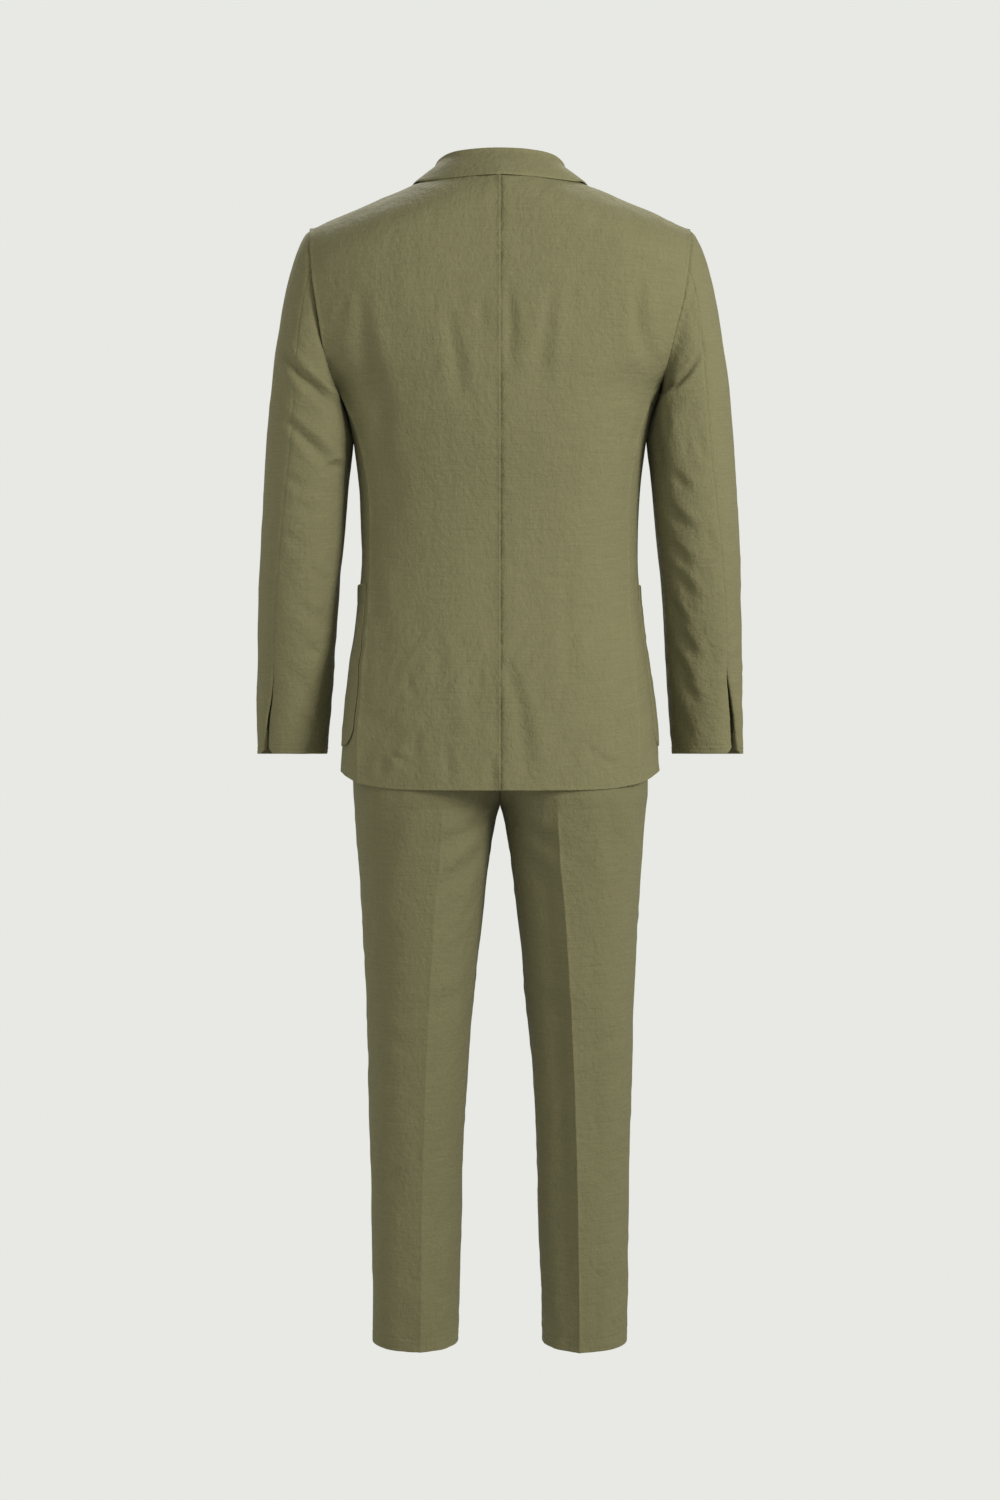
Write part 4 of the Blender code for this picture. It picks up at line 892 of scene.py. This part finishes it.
class Nodes:
    """Short calls for building the nodes of a material or of the world."""

    def __init__(self, owner, shader="Principled BSDF"):
        owner.use_nodes = True
        self.tree = owner.node_tree
        self.shader = self.tree.nodes[shader]

    def fill(self, node, inputs):
        """Sets a node's inputs, or links them to other nodes' outputs."""
        for name, value in inputs.items():
            if isinstance(value, bpy.types.NodeSocket):
                self.tree.links.new(value, node.inputs[name])
            else:
                node.inputs[name].default_value = value
        return node

    def new(self, kind, inputs=None, **settings):
        node = self.tree.nodes.new(kind)
        for name, value in settings.items():
            setattr(node, name, value)
        return self.fill(node, inputs or {})

    def place(self, kind):
        return self.new("ShaderNodeTexCoord").outputs[kind]

    def math(self, operation, a, b=0.0):
        return self.new("ShaderNodeMath", {0: a, 1: b}, operation=operation).outputs[0]

    def total(self, first, *others):
        for other in others:
            first = self.math("ADD", first, other)
        return first

    def mapped(self, coordinates, scale, rotation=(0, 0, 0)):
        inputs = {"Vector": coordinates, "Scale": scale, "Rotation": rotation}
        return self.new("ShaderNodeMapping", inputs).outputs["Vector"]

    def noise(self, vector, scale=1.0, detail=2.0, roughness=0.5, distortion=0.0):
        inputs = {"Vector": vector, "Scale": scale, "Detail": detail, "Roughness": roughness,
                  "Distortion": distortion}
        return self.new("ShaderNodeTexNoise", inputs).outputs["Fac"]

    def between(self, value, low, high):
        inputs = {"Value": value, "To Min": low, "To Max": high}
        return self.new("ShaderNodeMapRange", inputs).outputs["Result"]

    def mixed(self, share, first, second):
        inputs = {"Factor": share, "A": (*first, 1), "B": (*second, 1)}
        return self.new("ShaderNodeMix", inputs, data_type="RGBA").outputs["Result"]

    def scaled(self, colour, bright):
        inputs = {0: colour, "Scale": bright}
        return self.new("ShaderNodeVectorMath", inputs, operation="SCALE").outputs["Vector"]

    def bump(self, height, strength=1.0, distance=1.0):
        inputs = {"Height": height, "Strength": strength, "Distance": distance}
        return self.new("ShaderNodeBump", inputs).outputs["Normal"]


LINEN = (0.155, 0.1445, 0.0735)
LINEN_PITCH = 0.00085  # one thread over and one under
LINEN_SHADES = {"slub_down": 0.09, "slub_across": 0.18, "cloudy": 0.05, "fleck": 0.18}  # darker and paler
# the second entry makes the edges paler: partly wear and partly painted highlight
LINEN_PALER = {"weave": 0.03, "worn_and_lit": 0.07}
LINEN_HEIGHTS = {"weave": 0.00003, "slub_down": 0.00006, "slub_across": 0.00014, "crease": 0.0016,
                 "slant": 0.0015}  # in metres
HORN_DARK, HORN_PALE = (0.022, 0.014, 0.006), (0.110, 0.070, 0.030)
SEWING = (0.190, 0.176, 0.098)


def linen_material(name, painted_shade_scale=1.0):
    """Plain-woven linen: threads, slubs both ways, small creases, and paler edges, partly wear and partly
    painted highlight; a scale below 1 darkens it all as painted shade.
    """
    made = bpy.data.materials.new(name)
    n = Nodes(made)
    uv, place = n.place("UV"), n.place("Object")
    turns = 2 * math.pi / LINEN_PITCH
    split = n.new("ShaderNodeSeparateXYZ", {"Vector": n.mapped(uv, (turns, turns, 1))}).outputs
    weave = n.math("MULTIPLY", n.math("SINE", split[0]), n.math("SINE", split[1]))
    sources = {
        "weave": weave,
        "slub_down": n.noise(n.mapped(uv, (900, 24, 1)), roughness=0.6),
        "slub_across": n.noise(n.mapped(uv, (20, 760, 1), (0, 0, 0.01)), roughness=0.6),
        "cloudy": n.noise(place, 9.0, detail=3.0, roughness=0.55),
        "fleck": n.noise(n.mapped(uv, (420, 420, 1)), detail=3.0, roughness=0.7),
        "crease": n.noise(n.mapped(place, (1.0, 1.0, 0.8)), 190.0, detail=3.0, roughness=0.6,
                          distortion=0.3),
        "slant": n.noise(n.mapped(place, (1.0, 1.0, 0.75), (0, 0.4, 0)), 75.0, detail=3.0, roughness=0.55,
                         distortion=0.4),
        # the paler edges, partly wear and partly painted highlight
        "worn_and_lit": n.new("ShaderNodeAttribute", attribute_name="wear_and_highlight").outputs["Fac"],
    }
    shades = (n.between(sources[name], -amount, amount) for name, amount in LINEN_SHADES.items())
    paler = (n.math("MULTIPLY", sources[name], amount) for name, amount in LINEN_PALER.items())
    bright = n.total(*shades, *paler, 1.0)
    height = n.total(*(n.math("MULTIPLY", sources[name], depth) for name, depth in LINEN_HEIGHTS.items()))
    n.fill(n.shader, {
        # a scale below 1 darkens the whole cloth: painted shade
        "Base Color": n.scaled(tuple(channel * painted_shade_scale for channel in LINEN), bright),
        "Roughness": n.between(sources["slub_down"], 0.78, 0.92),
        "Normal": n.bump(height),
        "Sheen Weight": 0.03,
        "Sheen Roughness": 0.45,
        "Specular IOR Level": 0.08,
    })
    return made


def horn_material():
    """Polished dark horn with paler streaks."""
    made = bpy.data.materials.new("horn")
    n = Nodes(made)
    streak = n.noise(n.mapped(n.place("Object"), (90, 90, 320), (0, 0.6, 0)), 1.0, 4.0, 0.6, 1.2)
    n.fill(n.shader, {
        "Base Color": n.mixed(streak, HORN_DARK, HORN_PALE),
        "Roughness": n.between(streak, 0.28, 0.46),
        "Normal": n.bump(streak, 0.15, 0.0002),
        "Specular IOR Level": 0.3,
    })
    return made


def thread_material():
    """Matt olive sewing thread, a little paler than the cloth."""
    made = bpy.data.materials.new("thread")
    n = Nodes(made)
    ply = n.noise(n.mapped(n.place("Object"), (900, 900, 900)), 1.0, 2.0, 0.5)
    n.fill(n.shader, {"Base Color": n.scaled(SEWING, n.between(ply, 0.75, 1.25)), "Roughness": 0.7})
    return made


# ---- the garment ----

def cornered(grid, normals, distance, suffix):
    """Raises the body's cloth near the side back seam, where it turns from the back to the side."""
    rise = CORNER_SHARE[suffix] * read(CORNERS, "rise", grid[..., 2])
    return grid + normals * (rise * np.exp(-(distance / CORNER_SPREAD) ** CORNER_SHAPE))[..., None]


def jacket_body(linen):
    """Backs, side panels and fronts."""
    back = back_grid()
    arm_count = len(arm_rows(1)[0])
    for (suffix, turn), right in zip(SIDES, (False, True)):
        front = front_grid(right)
        side = side_grid(back[arm_count - 1:, -1], front[arm_count - 1:, -1])
        grids = [back, side, front]
        normals = [grid_normals(grid) for grid in grids]
        share_normals(grids, normals, flat_centre=True)
        kinds = (
            edged("seam", "hem", "groove" if right else "ridge", "lap"),
            edged("under", "hem", "under", "under"),
            edged("seam", "hem", "hem", "lap"),
        )
        for name, grid, normal, edges in zip(("back", "side", "front"), grids, normals, kinds):
            draped, faced = drape(grid, normal, "body", turn)
            if name != "front":
                seam = edge_distances(draped)["last" if name == "back" else "first"]
                draped = cornered(draped, faced, seam, suffix)
            cloth(f"{name}_{suffix}", draped, faced, linen, edges)


def sleeves(linen):
    """Upper and under sleeves, parted at the vent above the cuff."""
    back = list(np.linspace(math.pi / 2, ARM_BACK_PSI, ARM_CELLS + 1)[::-1])
    front = list(np.linspace(math.pi / 2, ARM_FRONT_PSI, ARM_CELLS + 1))
    low = list(np.linspace(ARM_BACK_PSI + 2 * math.pi, ARM_FRONT_PSI, SIDE_CELLS + 1))
    loop_upper = back[BACK_SPLIT:] + front[1:-1]
    loop_under = [front[-2]] + low[::-1] + [psi + 2 * math.pi for psi in back[1:BACK_SPLIT + 1]]
    grids = [sleeve_grid(loop_upper, False), sleeve_grid(loop_under, True)]
    centre = float(read(SLEEVE, "x", SLEEVE_MIDDLE_Z))
    normals = [grid_normals(grid, centre) for grid in grids]
    share_normals(grids, normals)
    names, vents = ("upper_sleeve", "under_sleeve"), ("first", "last")
    edges = edged("under", "hem", "seam", "seam")
    for suffix, turn in SIDES:
        for name, grid, normal, vent in zip(names, grids, normals, vents):
            draped, faced = drape(grid, normal, f"{suffix}_sleeve", turn)
            draped = tucked_in(draped, faced, suffix)
            open_vent(draped, faced, name, suffix, vent)
            cloth(f"{name}_{suffix}", draped, faced, linen, edges, {"bottom": CUFF_STITCH})


def tucked_in(grid, normals, suffix):
    """Sinks a sleeve beside the armhole, so that the body's edge lies over it."""
    facing = smooth(np.abs(normals[:1, :, 1]) / TUCK_FACING)
    near = edge_distances(grid)["top"] / read(ARM_TUCK, "reach", grid[..., 2])
    sunk = read(ARM_TUCK, suffix, grid[..., 2]) * facing * np.exp(-near ** 2)
    inwards = smooth(-np.sign(grid[..., 0]) * normals[..., 0] / FULL_FACING)
    return grid + normals * (read(ARM_FULL, "out", grid[..., 2]) * inwards - sunk)[..., None]


VENTS = {  # how each edge of a vent lies at the cuff: drawn back from the slit, and lifted off the arm
    "upper_sleeve_left": (0.0006, 0.0014),
    "under_sleeve_left": (0.0042, -0.0034),
    "upper_sleeve_right": (0.0050, 0.0004),
    "under_sleeve_right": (0.0076, -0.0010),
}
VENT_REACH, VENT_SHAPE = 0.024, 0.8
CORNER = {"upper_sleeve": (0.0035, 0.010), "under_sleeve": (0.0075, 0.013)}  # the cuff's: rise and reach
CORNER_HEIGHT, CORNER_ROUND = 0.030, 1.6


def open_vent(grid, normals, name, suffix, vent):
    """Lays one edge of a sleeve's vent as it falls towards the cuff, and rounds its corner."""
    drawn_back, lifted = VENTS[f"{name}_{suffix}"]
    edge, inner = (0, 6) if vent == "first" else (-1, -7)
    away = unit(grid[:, inner] - grid[:, edge])
    down = np.clip((VENT_TOP_Z - grid[:, edge, 2]) / (VENT_TOP_Z - CUFF_Z), 0, 1)[:, None]
    distance = edge_distances(grid)[vent]
    weight = (down ** VENT_SHAPE * np.exp(-(distance / VENT_REACH) ** 2))[..., None]
    grid += away[:, None, :] * drawn_back * weight + normals * lifted * weight
    rise, reach = CORNER[name]
    corner = np.clip(1 - distance / reach, 0, 1) ** CORNER_ROUND
    grid[..., 2] += rise * corner * smooth(1 - (grid[..., 2] - CUFF_Z) / CORNER_HEIGHT)


def pocket_grid(rear_share, downs, shares):
    """A patch pocket with round lower corners, over the seam of the left side panel and front."""
    height = POCKET_TOP_Z - POCKET_BOTTOM_Z
    rows = []
    for down in downs:
        z = POCKET_TOP_Z - down
        start = body_angle(read(LOW_SEAMS, "back", z), z, 1)
        seam_front = read(LOW_SEAMS, "front", z)
        end = body_angle(seam_front, z, -1)
        free = read(FRONT_EDGE, "x", z)
        forward = body_angle(free + (seam_front - free) * POCKET_FORWARD, z, -1)
        rear = start + (end - start) * rear_share
        into = max(0.0, down - (height - POCKET_RADIUS))
        cut = (POCKET_RADIUS - math.sqrt(max(POCKET_RADIUS ** 2 - into ** 2, 0))) / POCKET_WIDTH
        angle = rear + (forward - rear) * (cut + (1 - 2 * cut) * shares)
        rows.append(at_angle(angle, np.full(len(shares), z)))
    return np.array(rows)


def pockets(linen):
    """Patch pockets, each lying on its side panel and front."""
    height = POCKET_TOP_Z - POCKET_BOTTOM_Z
    downs = spread(height, marks=(POCKET_STITCH[0],))
    turns = np.linspace(0, math.pi / 2, POCKET_ROUND_ROWS)
    rounded = height - POCKET_RADIUS * (1 - np.sin(turns))
    downs = np.sort(np.concatenate((downs[downs < height - POCKET_RADIUS], rounded)))
    stitches = POCKET_STITCH + (POCKET_WIDTH - POCKET_STITCH[0],)
    shares = spread(POCKET_WIDTH, marks=stitches) / POCKET_WIDTH
    lines = {edge: POCKET_STITCH for edge in ("bottom", "first", "last")}
    lines["top"] = (POCKET_HEM,)
    for suffix, turn in SIDES:
        grid = pocket_grid(POCKET_REAR[suffix], downs, shares)
        normals = grid_normals(grid)
        distances = edge_distances(grid)
        nearest = np.minimum(np.minimum(distances["first"], distances["last"]), distances["bottom"])
        mouth = np.exp(-(distances["top"] / POCKET_MOUTH_REACH) ** 2)
        lift = POCKET_LIFT + POCKET_FULL * smooth(nearest / POCKET_FULL_REACH) + POCKET_MOUTH * mouth
        draped, faced = drape(grid, normals, "body", turn)
        draped = cornered(draped, faced, distances["first"] + POCKET_REAR[suffix] * SIDE_WIDTH, suffix)
        lifted = draped + faced * lift[..., None]
        cloth(f"pocket_{suffix}", lifted, faced, linen, edged("hem", "hem", "hem", "hem"), lines)


def lapels(linen):
    """Lapels turned over at the roll line, softly rolled and lying on their fronts."""
    run = ROLL_HIGH - ROLL_LOW
    across = np.array((run[1], -run[0])) / np.linalg.norm(run)
    shares = spread(LAPEL_LENGTH) / LAPEL_LENGTH
    outs = spread(LAPEL_WIDTH) / LAPEL_WIDTH
    for (suffix, turn), right in zip(SIDES, (False, True)):
        share, out = np.meshgrid(shares, outs, indexing="ij")
        along = (GORGE_INNER + (GORGE_OUTER - GORGE_INNER) * out) * share
        width = read(LAPEL, "width", share, "along")
        x = ROLL_LOW[0] + run[0] * along + across[0] * width * out
        z = ROLL_LOW[1] + run[1] * along + across[1] * width * out
        grid = front_point(x, z, right)
        normals = grid_normals(grid)
        soft = ROLL_RISE * np.exp(-((out * width - ROLL_AT) / ROLL_AT) ** 2) * smooth(ROLL_TO - share)
        outer = smooth((out - LAPEL_TIP_FROM) / (1 - LAPEL_TIP_FROM))
        soft += LAPEL_TIP_RISE * outer * smooth(share / LAPEL_TIP_UP)
        draped, faced = drape(grid, normals, "body", turn)
        lifted = draped + faced * (LAPEL_LIFT + soft)[..., None]
        cloth(f"lapel_{suffix}", lifted, faced, linen, edged("hem", "hem", "roll", "hem"))


def refined(grid, count):
    """Points on a smooth curve through the grid's rows, count for each step."""
    padded = np.concatenate((2 * grid[:1] - grid[1:2], grid, 2 * grid[-1:] - grid[-2:-1]))
    steps = np.maximum(np.linalg.norm(np.diff(padded, axis=0), axis=-1), 1e-6) ** 0.5
    rows = []
    for i in range(1, len(padded) - 2):
        before, here, after = steps[i - 1][..., None], steps[i][..., None], steps[i + 1][..., None]
        p0, p1, p2, p3 = padded[i - 1], padded[i], padded[i + 1], padded[i + 2]
        m1 = ((p1 - p0) / before - (p2 - p0) / (before + here) + (p2 - p1) / here) * here
        m2 = ((p2 - p1) / here - (p3 - p1) / (here + after) + (p3 - p2) / after) * here
        for t in np.linspace(0, 1, count, endpoint=False):
            rows.append(curve(t, p1, m1, p2, m2))
    return np.array(rows + [grid[-1]])


def collar(linen):
    """The collar in one turned piece: up the stand, over the fold and down the fall."""
    stations = []
    for i in range(len(COLLAR["seam_x"])):
        seam = np.array([COLLAR[f"seam_{axis}"][i] for axis in "xyz"])
        crest = np.array([COLLAR[f"fold_{axis}"][i] for axis in "xyz"])
        edge = body_point(COLLAR["edge_x"][i], COLLAR["edge_z"][i], COLLAR["edge_side"][i])
        out = unit((edge - seam) * (1, 1, 0))
        edge = edge + COLLAR["edge_lift"][i] * unit((edge - CHEST) * (0.2, 1, 1))
        inside, outside = crest - out * COLLAR_ROLL, crest + out * COLLAR_ROLL
        low = np.array((0, 0, COLLAR_ROLL))
        top = out * COLLAR_ROLL * COLLAR_TOP
        stations.append([seam, (seam + inside - low) / 2, inside - low, crest - top, crest + top,
                         outside - low, (outside - low + edge) / 2 + (0, 0, COLLAR_BULGE), edge])
    half = np.array(stations)
    whole = np.concatenate((right_side(half)[:0:-1], half))
    around, over = COLLAR_STEPS
    fine = refined(refined(whole, around).transpose(1, 0, 2), over).transpose(1, 0, 2)
    normals = unit(np.cross(np.gradient(fine, axis=0), np.gradient(fine, axis=1)))
    middle = len(fine) // 2
    if normals[middle, -1][1] < 0:
        normals = -normals
    fine = fine + normals * (COLLAR_CRUMPLE * crumple(fine))[..., None]
    cloth("collar", fine, normals, linen, edged("hem", "hem", "seam", "hem"))


def pressed(grid, sharpness):
    """Sharpens a leg's crease, from below the seat to the hem, and lets the hem hang in an arc."""
    middle = grid.shape[1] // 2
    along = edge_distances(grid)["first"]
    off = (along - along[:, middle:middle + 1]) / PRESSED_SPREAD
    share = smooth((PRESS_TOP_Z - grid[..., 2]) / (PRESS_TOP_Z - PRESS_FULL_Z))
    outwards = np.sign(grid[..., 1].mean())
    shaped = grid.copy()
    shaped[..., 1] += outwards * PRESSED_EDGE * sharpness * share * np.exp(-np.abs(off) ** 1.5)
    round_leg = power(-np.cos(np.linspace(0, math.tau, grid.shape[1])), HEM_ARC_FLAT)
    hanging = smooth((HEM_ARC_TOP_Z - grid[..., 2]) / (HEM_ARC_TOP_Z - TROUSER_HEM_Z))
    shaped[..., 2] -= HEM_ARC * round_leg * hanging
    return shaped


def trousers(linen):
    """Legs, waistband and fly placket."""
    length = WAIST_Z - TROUSER_HEM_Z
    heights = WAIST_Z - spread(length, marks=(length - TROUSER_HEM,))
    band_heights = BAND_TOP_Z - spread(BAND_TOP_Z - WAIST_Z)
    band = np.concatenate((leg_grid(1, band_heights), leg_grid(-1, band_heights)[:, -2::-1]), axis=1)
    centre = float(read(LEG, "outer", LEG_MIDDLE_Z) / 2)
    sewn = edged("seam", "hem", "seam", "seam")
    for suffix, turn in SIDES:
        grids = [leg_grid(1, heights, PRESSED[suffix]), leg_grid(-1, heights), band]
        normals = [grid_normals(grid, centre) for grid in grids]
        share_normals(grids, normals, flat_centre=True)
        for name, grid, normal in zip(("leg_back", "leg_front"), grids, normals):
            draped, faced = drape(grid, normal, "leg", turn)
            cloth(f"{name}_{suffix}", pressed(draped, PRESSED[suffix]), faced, linen, sewn,
                  {"bottom": (TROUSER_HEM,)})
        draped, faced = drape(band, normals[2], "leg", turn)
        cloth(f"waistband_{suffix}", draped, faced, linen, edged("hem", "seam", "seam", "seam"))
    fly(grids[1], normals[1], heights > FLY_BOTTOM_Z, linen)


def fly(leg, leg_normals, rows, linen):
    """The fly placket, over the upper inner part of the left leg's front."""
    grid, normals = leg[rows][:, :FLY_COLUMNS], leg_normals[rows][:, :FLY_COLUMNS]
    cloth("fly", grid + normals * FLY_LIFT, normals, linen, edged("hem", "hem", "hem", "hem"),
          {"last": (FLY_STITCH,)})


# ---- buttons ----

RIM = {  # a button's profile, from the middle of its face round the rim to the middle of its back
    "radius": (0.0, 0.0045, 0.0062, 0.0076, 0.0088, 0.0096, 0.0100, 0.0096, 0.0082, 0.0),
    "height": (0.0019, 0.0019, 0.0021, 0.0029, 0.0032, 0.0028, 0.0018, 0.0006, 0.0, 0.0),
}
RIM_SIDES = 48
BUTTON_SCALES = {"jacket_button_upper": 1.0, "jacket_button_lower": 1.0, "waist_button": 0.8}
HOLE_OFF = 0.0019  # a hole's distance from the button's middle, sideways and upwards
HOLE_RADIUS, DRILL_SIDES, DRILL_LENGTH = 0.00095, 16, 0.012
THREAD_RADIUS, THREAD_SIDES, THREAD_STEPS = 0.00055, 8, 11
THREAD_SUNK, THREAD_BULGE, THREAD_TURN, THREAD_REACH = 0.0007, 0.0008, 1.25, 0.8
BUTTONHOLE_LENGTH, BUTTONHOLE_HALF, BUTTONHOLE_STEPS = 0.022, 0.0010, 48
BUTTONHOLE_ROUND, BUTTONHOLE_THREAD = 0.5, 0.9  # its ends' shape, and its thread's share of its half width
BUTTONHOLE_LOOPS = (0.6, 1.0, 1.4)  # the thread lies on the middle one
BUTTONHOLE_FROM_EDGE = 0.014  # the lower buttonhole's distance from the left front's edge


def thread(name, path, radius, finish, closed=False):
    """A round thread along a path of points in the front's plane."""
    after, before = np.roll(path, -1, axis=0), np.roll(path, 1, axis=0)
    if not closed:
        after[-1], before[0] = path[-1], path[0]
    along = unit(after - before)
    side = unit(np.cross(along, (0.0, 1.0, 0.0)))
    up = np.cross(side, along)
    turns = np.arange(THREAD_SIDES)[:, None] * math.tau / THREAD_SIDES
    rings = path[:, None] + radius * (np.cos(turns) * side[:, None] + np.sin(turns) * up[:, None])
    i, j = np.indices((len(path) - (not closed), THREAD_SIDES))
    following, beside = (i + 1) % len(path) * THREAD_SIDES, (j + 1) % THREAD_SIDES
    start = i * THREAD_SIDES
    faces = np.stack((start + j, start + beside, following + beside, following + j), -1)
    piece = mesh_piece(name, rings, faces.reshape(-1, 4), finish)


def button_threads(node, centre, front_y, scale, finish):
    """Two short stitches over a button's dish, from hole to hole."""
    turn = np.linspace(-THREAD_TURN, THREAD_TURN, THREAD_STEPS) * math.pi / 2
    y = front_y + THREAD_SUNK - THREAD_BULGE * np.cos(turn)
    z = centre[2] + HOLE_OFF * scale * np.sin(turn * THREAD_REACH)
    for name, side in (("left", 1), ("right", -1)):
        x = np.full(THREAD_STEPS, centre[0] + side * HOLE_OFF * scale)
        thread(f"thread_{node}_{name}", np.stack((x, y, z), -1), THREAD_RADIUS * scale, finish)


def buttonholes(finish):
    """Worked buttonholes of the left front: the upper one shows beside its button."""
    turn = np.linspace(0, math.tau, BUTTONHOLE_STEPS, endpoint=False)
    for level in ("upper", "lower"):
        low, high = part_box(f"jacket_button_{level}")
        z = (low[2] + high[2]) / 2
        start = (low[0] + high[0]) / 2
        if level == "lower":
            start = float(read(FRONT_EDGE, "x", z)) + BUTTONHOLE_FROM_EDGE
        loops = []
        for share in BUTTONHOLE_LOOPS:
            half = BUTTONHOLE_HALF * share
            reach = BUTTONHOLE_LENGTH / 2 - BUTTONHOLE_HALF + half
            across = start + BUTTONHOLE_LENGTH / 2 + reach * power(np.cos(turn), BUTTONHOLE_ROUND)
            up = half * power(np.sin(turn), BUTTONHOLE_ROUND)
            loops.append(front_point(across, z + up, False))
        loops = np.array(loops)
        draped, faced = drape(loops, grid_normals(loops), "body", np.copy)
        path = draped[1] + faced[1] * THREAD_RADIUS
        thread(f"buttonhole_{level}", path, BUTTONHOLE_HALF * BUTTONHOLE_THREAD, finish, closed=True)


def buttons(horn, sewing):
    """Four-hole buttons, each turned from the rim's profile, drilled and sewn on."""
    for node, scale in BUTTON_SCALES.items():
        low, high = (np.array(corner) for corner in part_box(node))
        centre = (low + high) / 2
        bm = bmesh.new()
        rings = []
        for radius, height in zip(RIM["radius"], RIM["height"]):
            turns = [0.0] if radius == 0 else np.arange(RIM_SIDES) * math.tau / RIM_SIDES
            rings.append([bm.verts.new((centre[0] + radius * scale * math.cos(a), high[1] - height,
                                        centre[2] + radius * scale * math.sin(a))) for a in turns])
        for ring, following in zip(rings, rings[1:]):
            for i in range(RIM_SIDES):
                j = (i + 1) % RIM_SIDES
                corners = [ring[i % len(ring)], ring[j % len(ring)], following[j % len(following)],
                           following[i % len(following)]]
                bm.faces.new(list(dict.fromkeys(corners)))
        piece = closed_solid("horn_" + node, bm)
        piece.data.materials.append(horn)
        drill(piece, centre, scale)
        piece.data.shade_smooth()
        piece.data.set_sharp_from_angle(angle=math.radians(50))
        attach(piece, BODY_NAME)
        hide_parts(node)
        button_threads(node, centre, high[1] - RIM["height"][0], scale, sewing)


def closed_solid(name, bm):
    """A new object from a bmesh, its faces turned outwards."""
    bmesh.ops.recalc_face_normals(bm, faces=bm.faces)
    mesh = bpy.data.meshes.new(name)
    bm.to_mesh(mesh)
    bm.free()
    return placed(name, mesh)


def drill(piece, centre, scale):
    """Cuts the four holes through a button."""
    bm = bmesh.new()
    for dx, dz in ((1, 1), (1, -1), (-1, 1), (-1, -1)):
        made = bmesh.ops.create_cone(bm, segments=DRILL_SIDES, radius1=HOLE_RADIUS * scale,
                                     radius2=HOLE_RADIUS * scale, depth=DRILL_LENGTH, cap_ends=True)
        middle = centre + np.array((dx, 0, dz)) * HOLE_OFF * scale
        for vert in made["verts"]:
            x, y, z = vert.co
            vert.co = middle + (x, z, y)
    cutter = closed_solid("drill", bm)
    cut = piece.modifiers.new("holes", "BOOLEAN")
    cut.object = cutter
    graph = bpy.context.evaluated_depsgraph_get()
    drilled = bpy.data.meshes.new_from_object(piece.evaluated_get(graph))
    piece.modifiers.clear()
    piece.data = drilled
    bpy.data.objects.remove(cutter, do_unlink=True)


# ---- studio ----

EYE_DISTANCE, EYE_Z = 3.8, -0.6948
BACKDROP = (0.807, 0.814, 0.776)
DIM, DIM_BEYOND = (0.30, 0.30, 0.29), (0.46, 0.66)  # the studio's dark ceiling and floor, by steepness
LIGHTS = (  # name, place, size and power
    ("key", (-2.7, 2.4, 0.8), (1.1, 1.5), 59),
    ("fill", (2.3, 0.6, -0.9), (1.0, 1.2), 4),
    ("front", (0.4, -2.5, 2.3), (1.0, 1.0), 66),
)
LIGHT_SPREAD = math.radians(115)
LIGHTS_AIM = np.zeros(3)
SENSOR_MM, FOCAL_MM = 36, 76.0


def studio():
    """A pale backdrop with a darker ceiling and floor, the lights, and the camera behind."""
    scene = bpy.context.scene
    scene.view_settings.view_transform = "Standard"
    scene.world = bpy.data.worlds.new("studio")
    n = Nodes(scene.world, "Background")
    split = n.new("ShaderNodeSeparateXYZ", {"Vector": n.place("Generated")}).outputs
    steep = {"Value": n.math("ABSOLUTE", split["Z"]), "From Min": DIM_BEYOND[0], "From Max": DIM_BEYOND[1]}
    share = n.new("ShaderNodeMapRange", steep, interpolation_type="SMOOTHSTEP").outputs["Result"]
    n.fill(n.shader, {"Color": n.mixed(share, BACKDROP, DIM)})

    for name, place, size, power_w in LIGHTS:
        light = bpy.data.lights.new(name, "AREA")
        light.shape = "RECTANGLE"
        light.size, light.size_y = size
        light.energy = power_w
        light.spread = LIGHT_SPREAD
        holder = placed(name, light)
        holder.location = place
        x, y, z = LIGHTS_AIM - place
        holder.rotation_euler = (math.atan2(math.hypot(x, y), -z), 0, math.atan2(-x, y))

    camera = bpy.data.cameras.new("camera")
    camera.sensor_width = SENSOR_MM
    camera.lens = FOCAL_MM
    eye = placed("camera", camera)
    eye.location = (0, EYE_DISTANCE, EYE_Z)
    eye.rotation_euler = (math.pi / 2, 0, math.pi)
    scene.camera = eye


def build():
    """Makes every piece, then the studio."""
    linen = linen_material("linen_cloth")
    # the trousers' linen is the same cloth painted 6 % darker: painted shade for the dimmer light low on the
    # figure
    under = linen_material("linen_painted_shade", 0.94)
    horn = horn_material()
    jacket_body(linen)
    pockets(linen)
    lapels(linen)
    collar(linen)
    sleeves(linen)
    trousers(under)
    sewing = thread_material()
    buttons(horn, sewing)
    buttonholes(sewing)
    studio()


build()
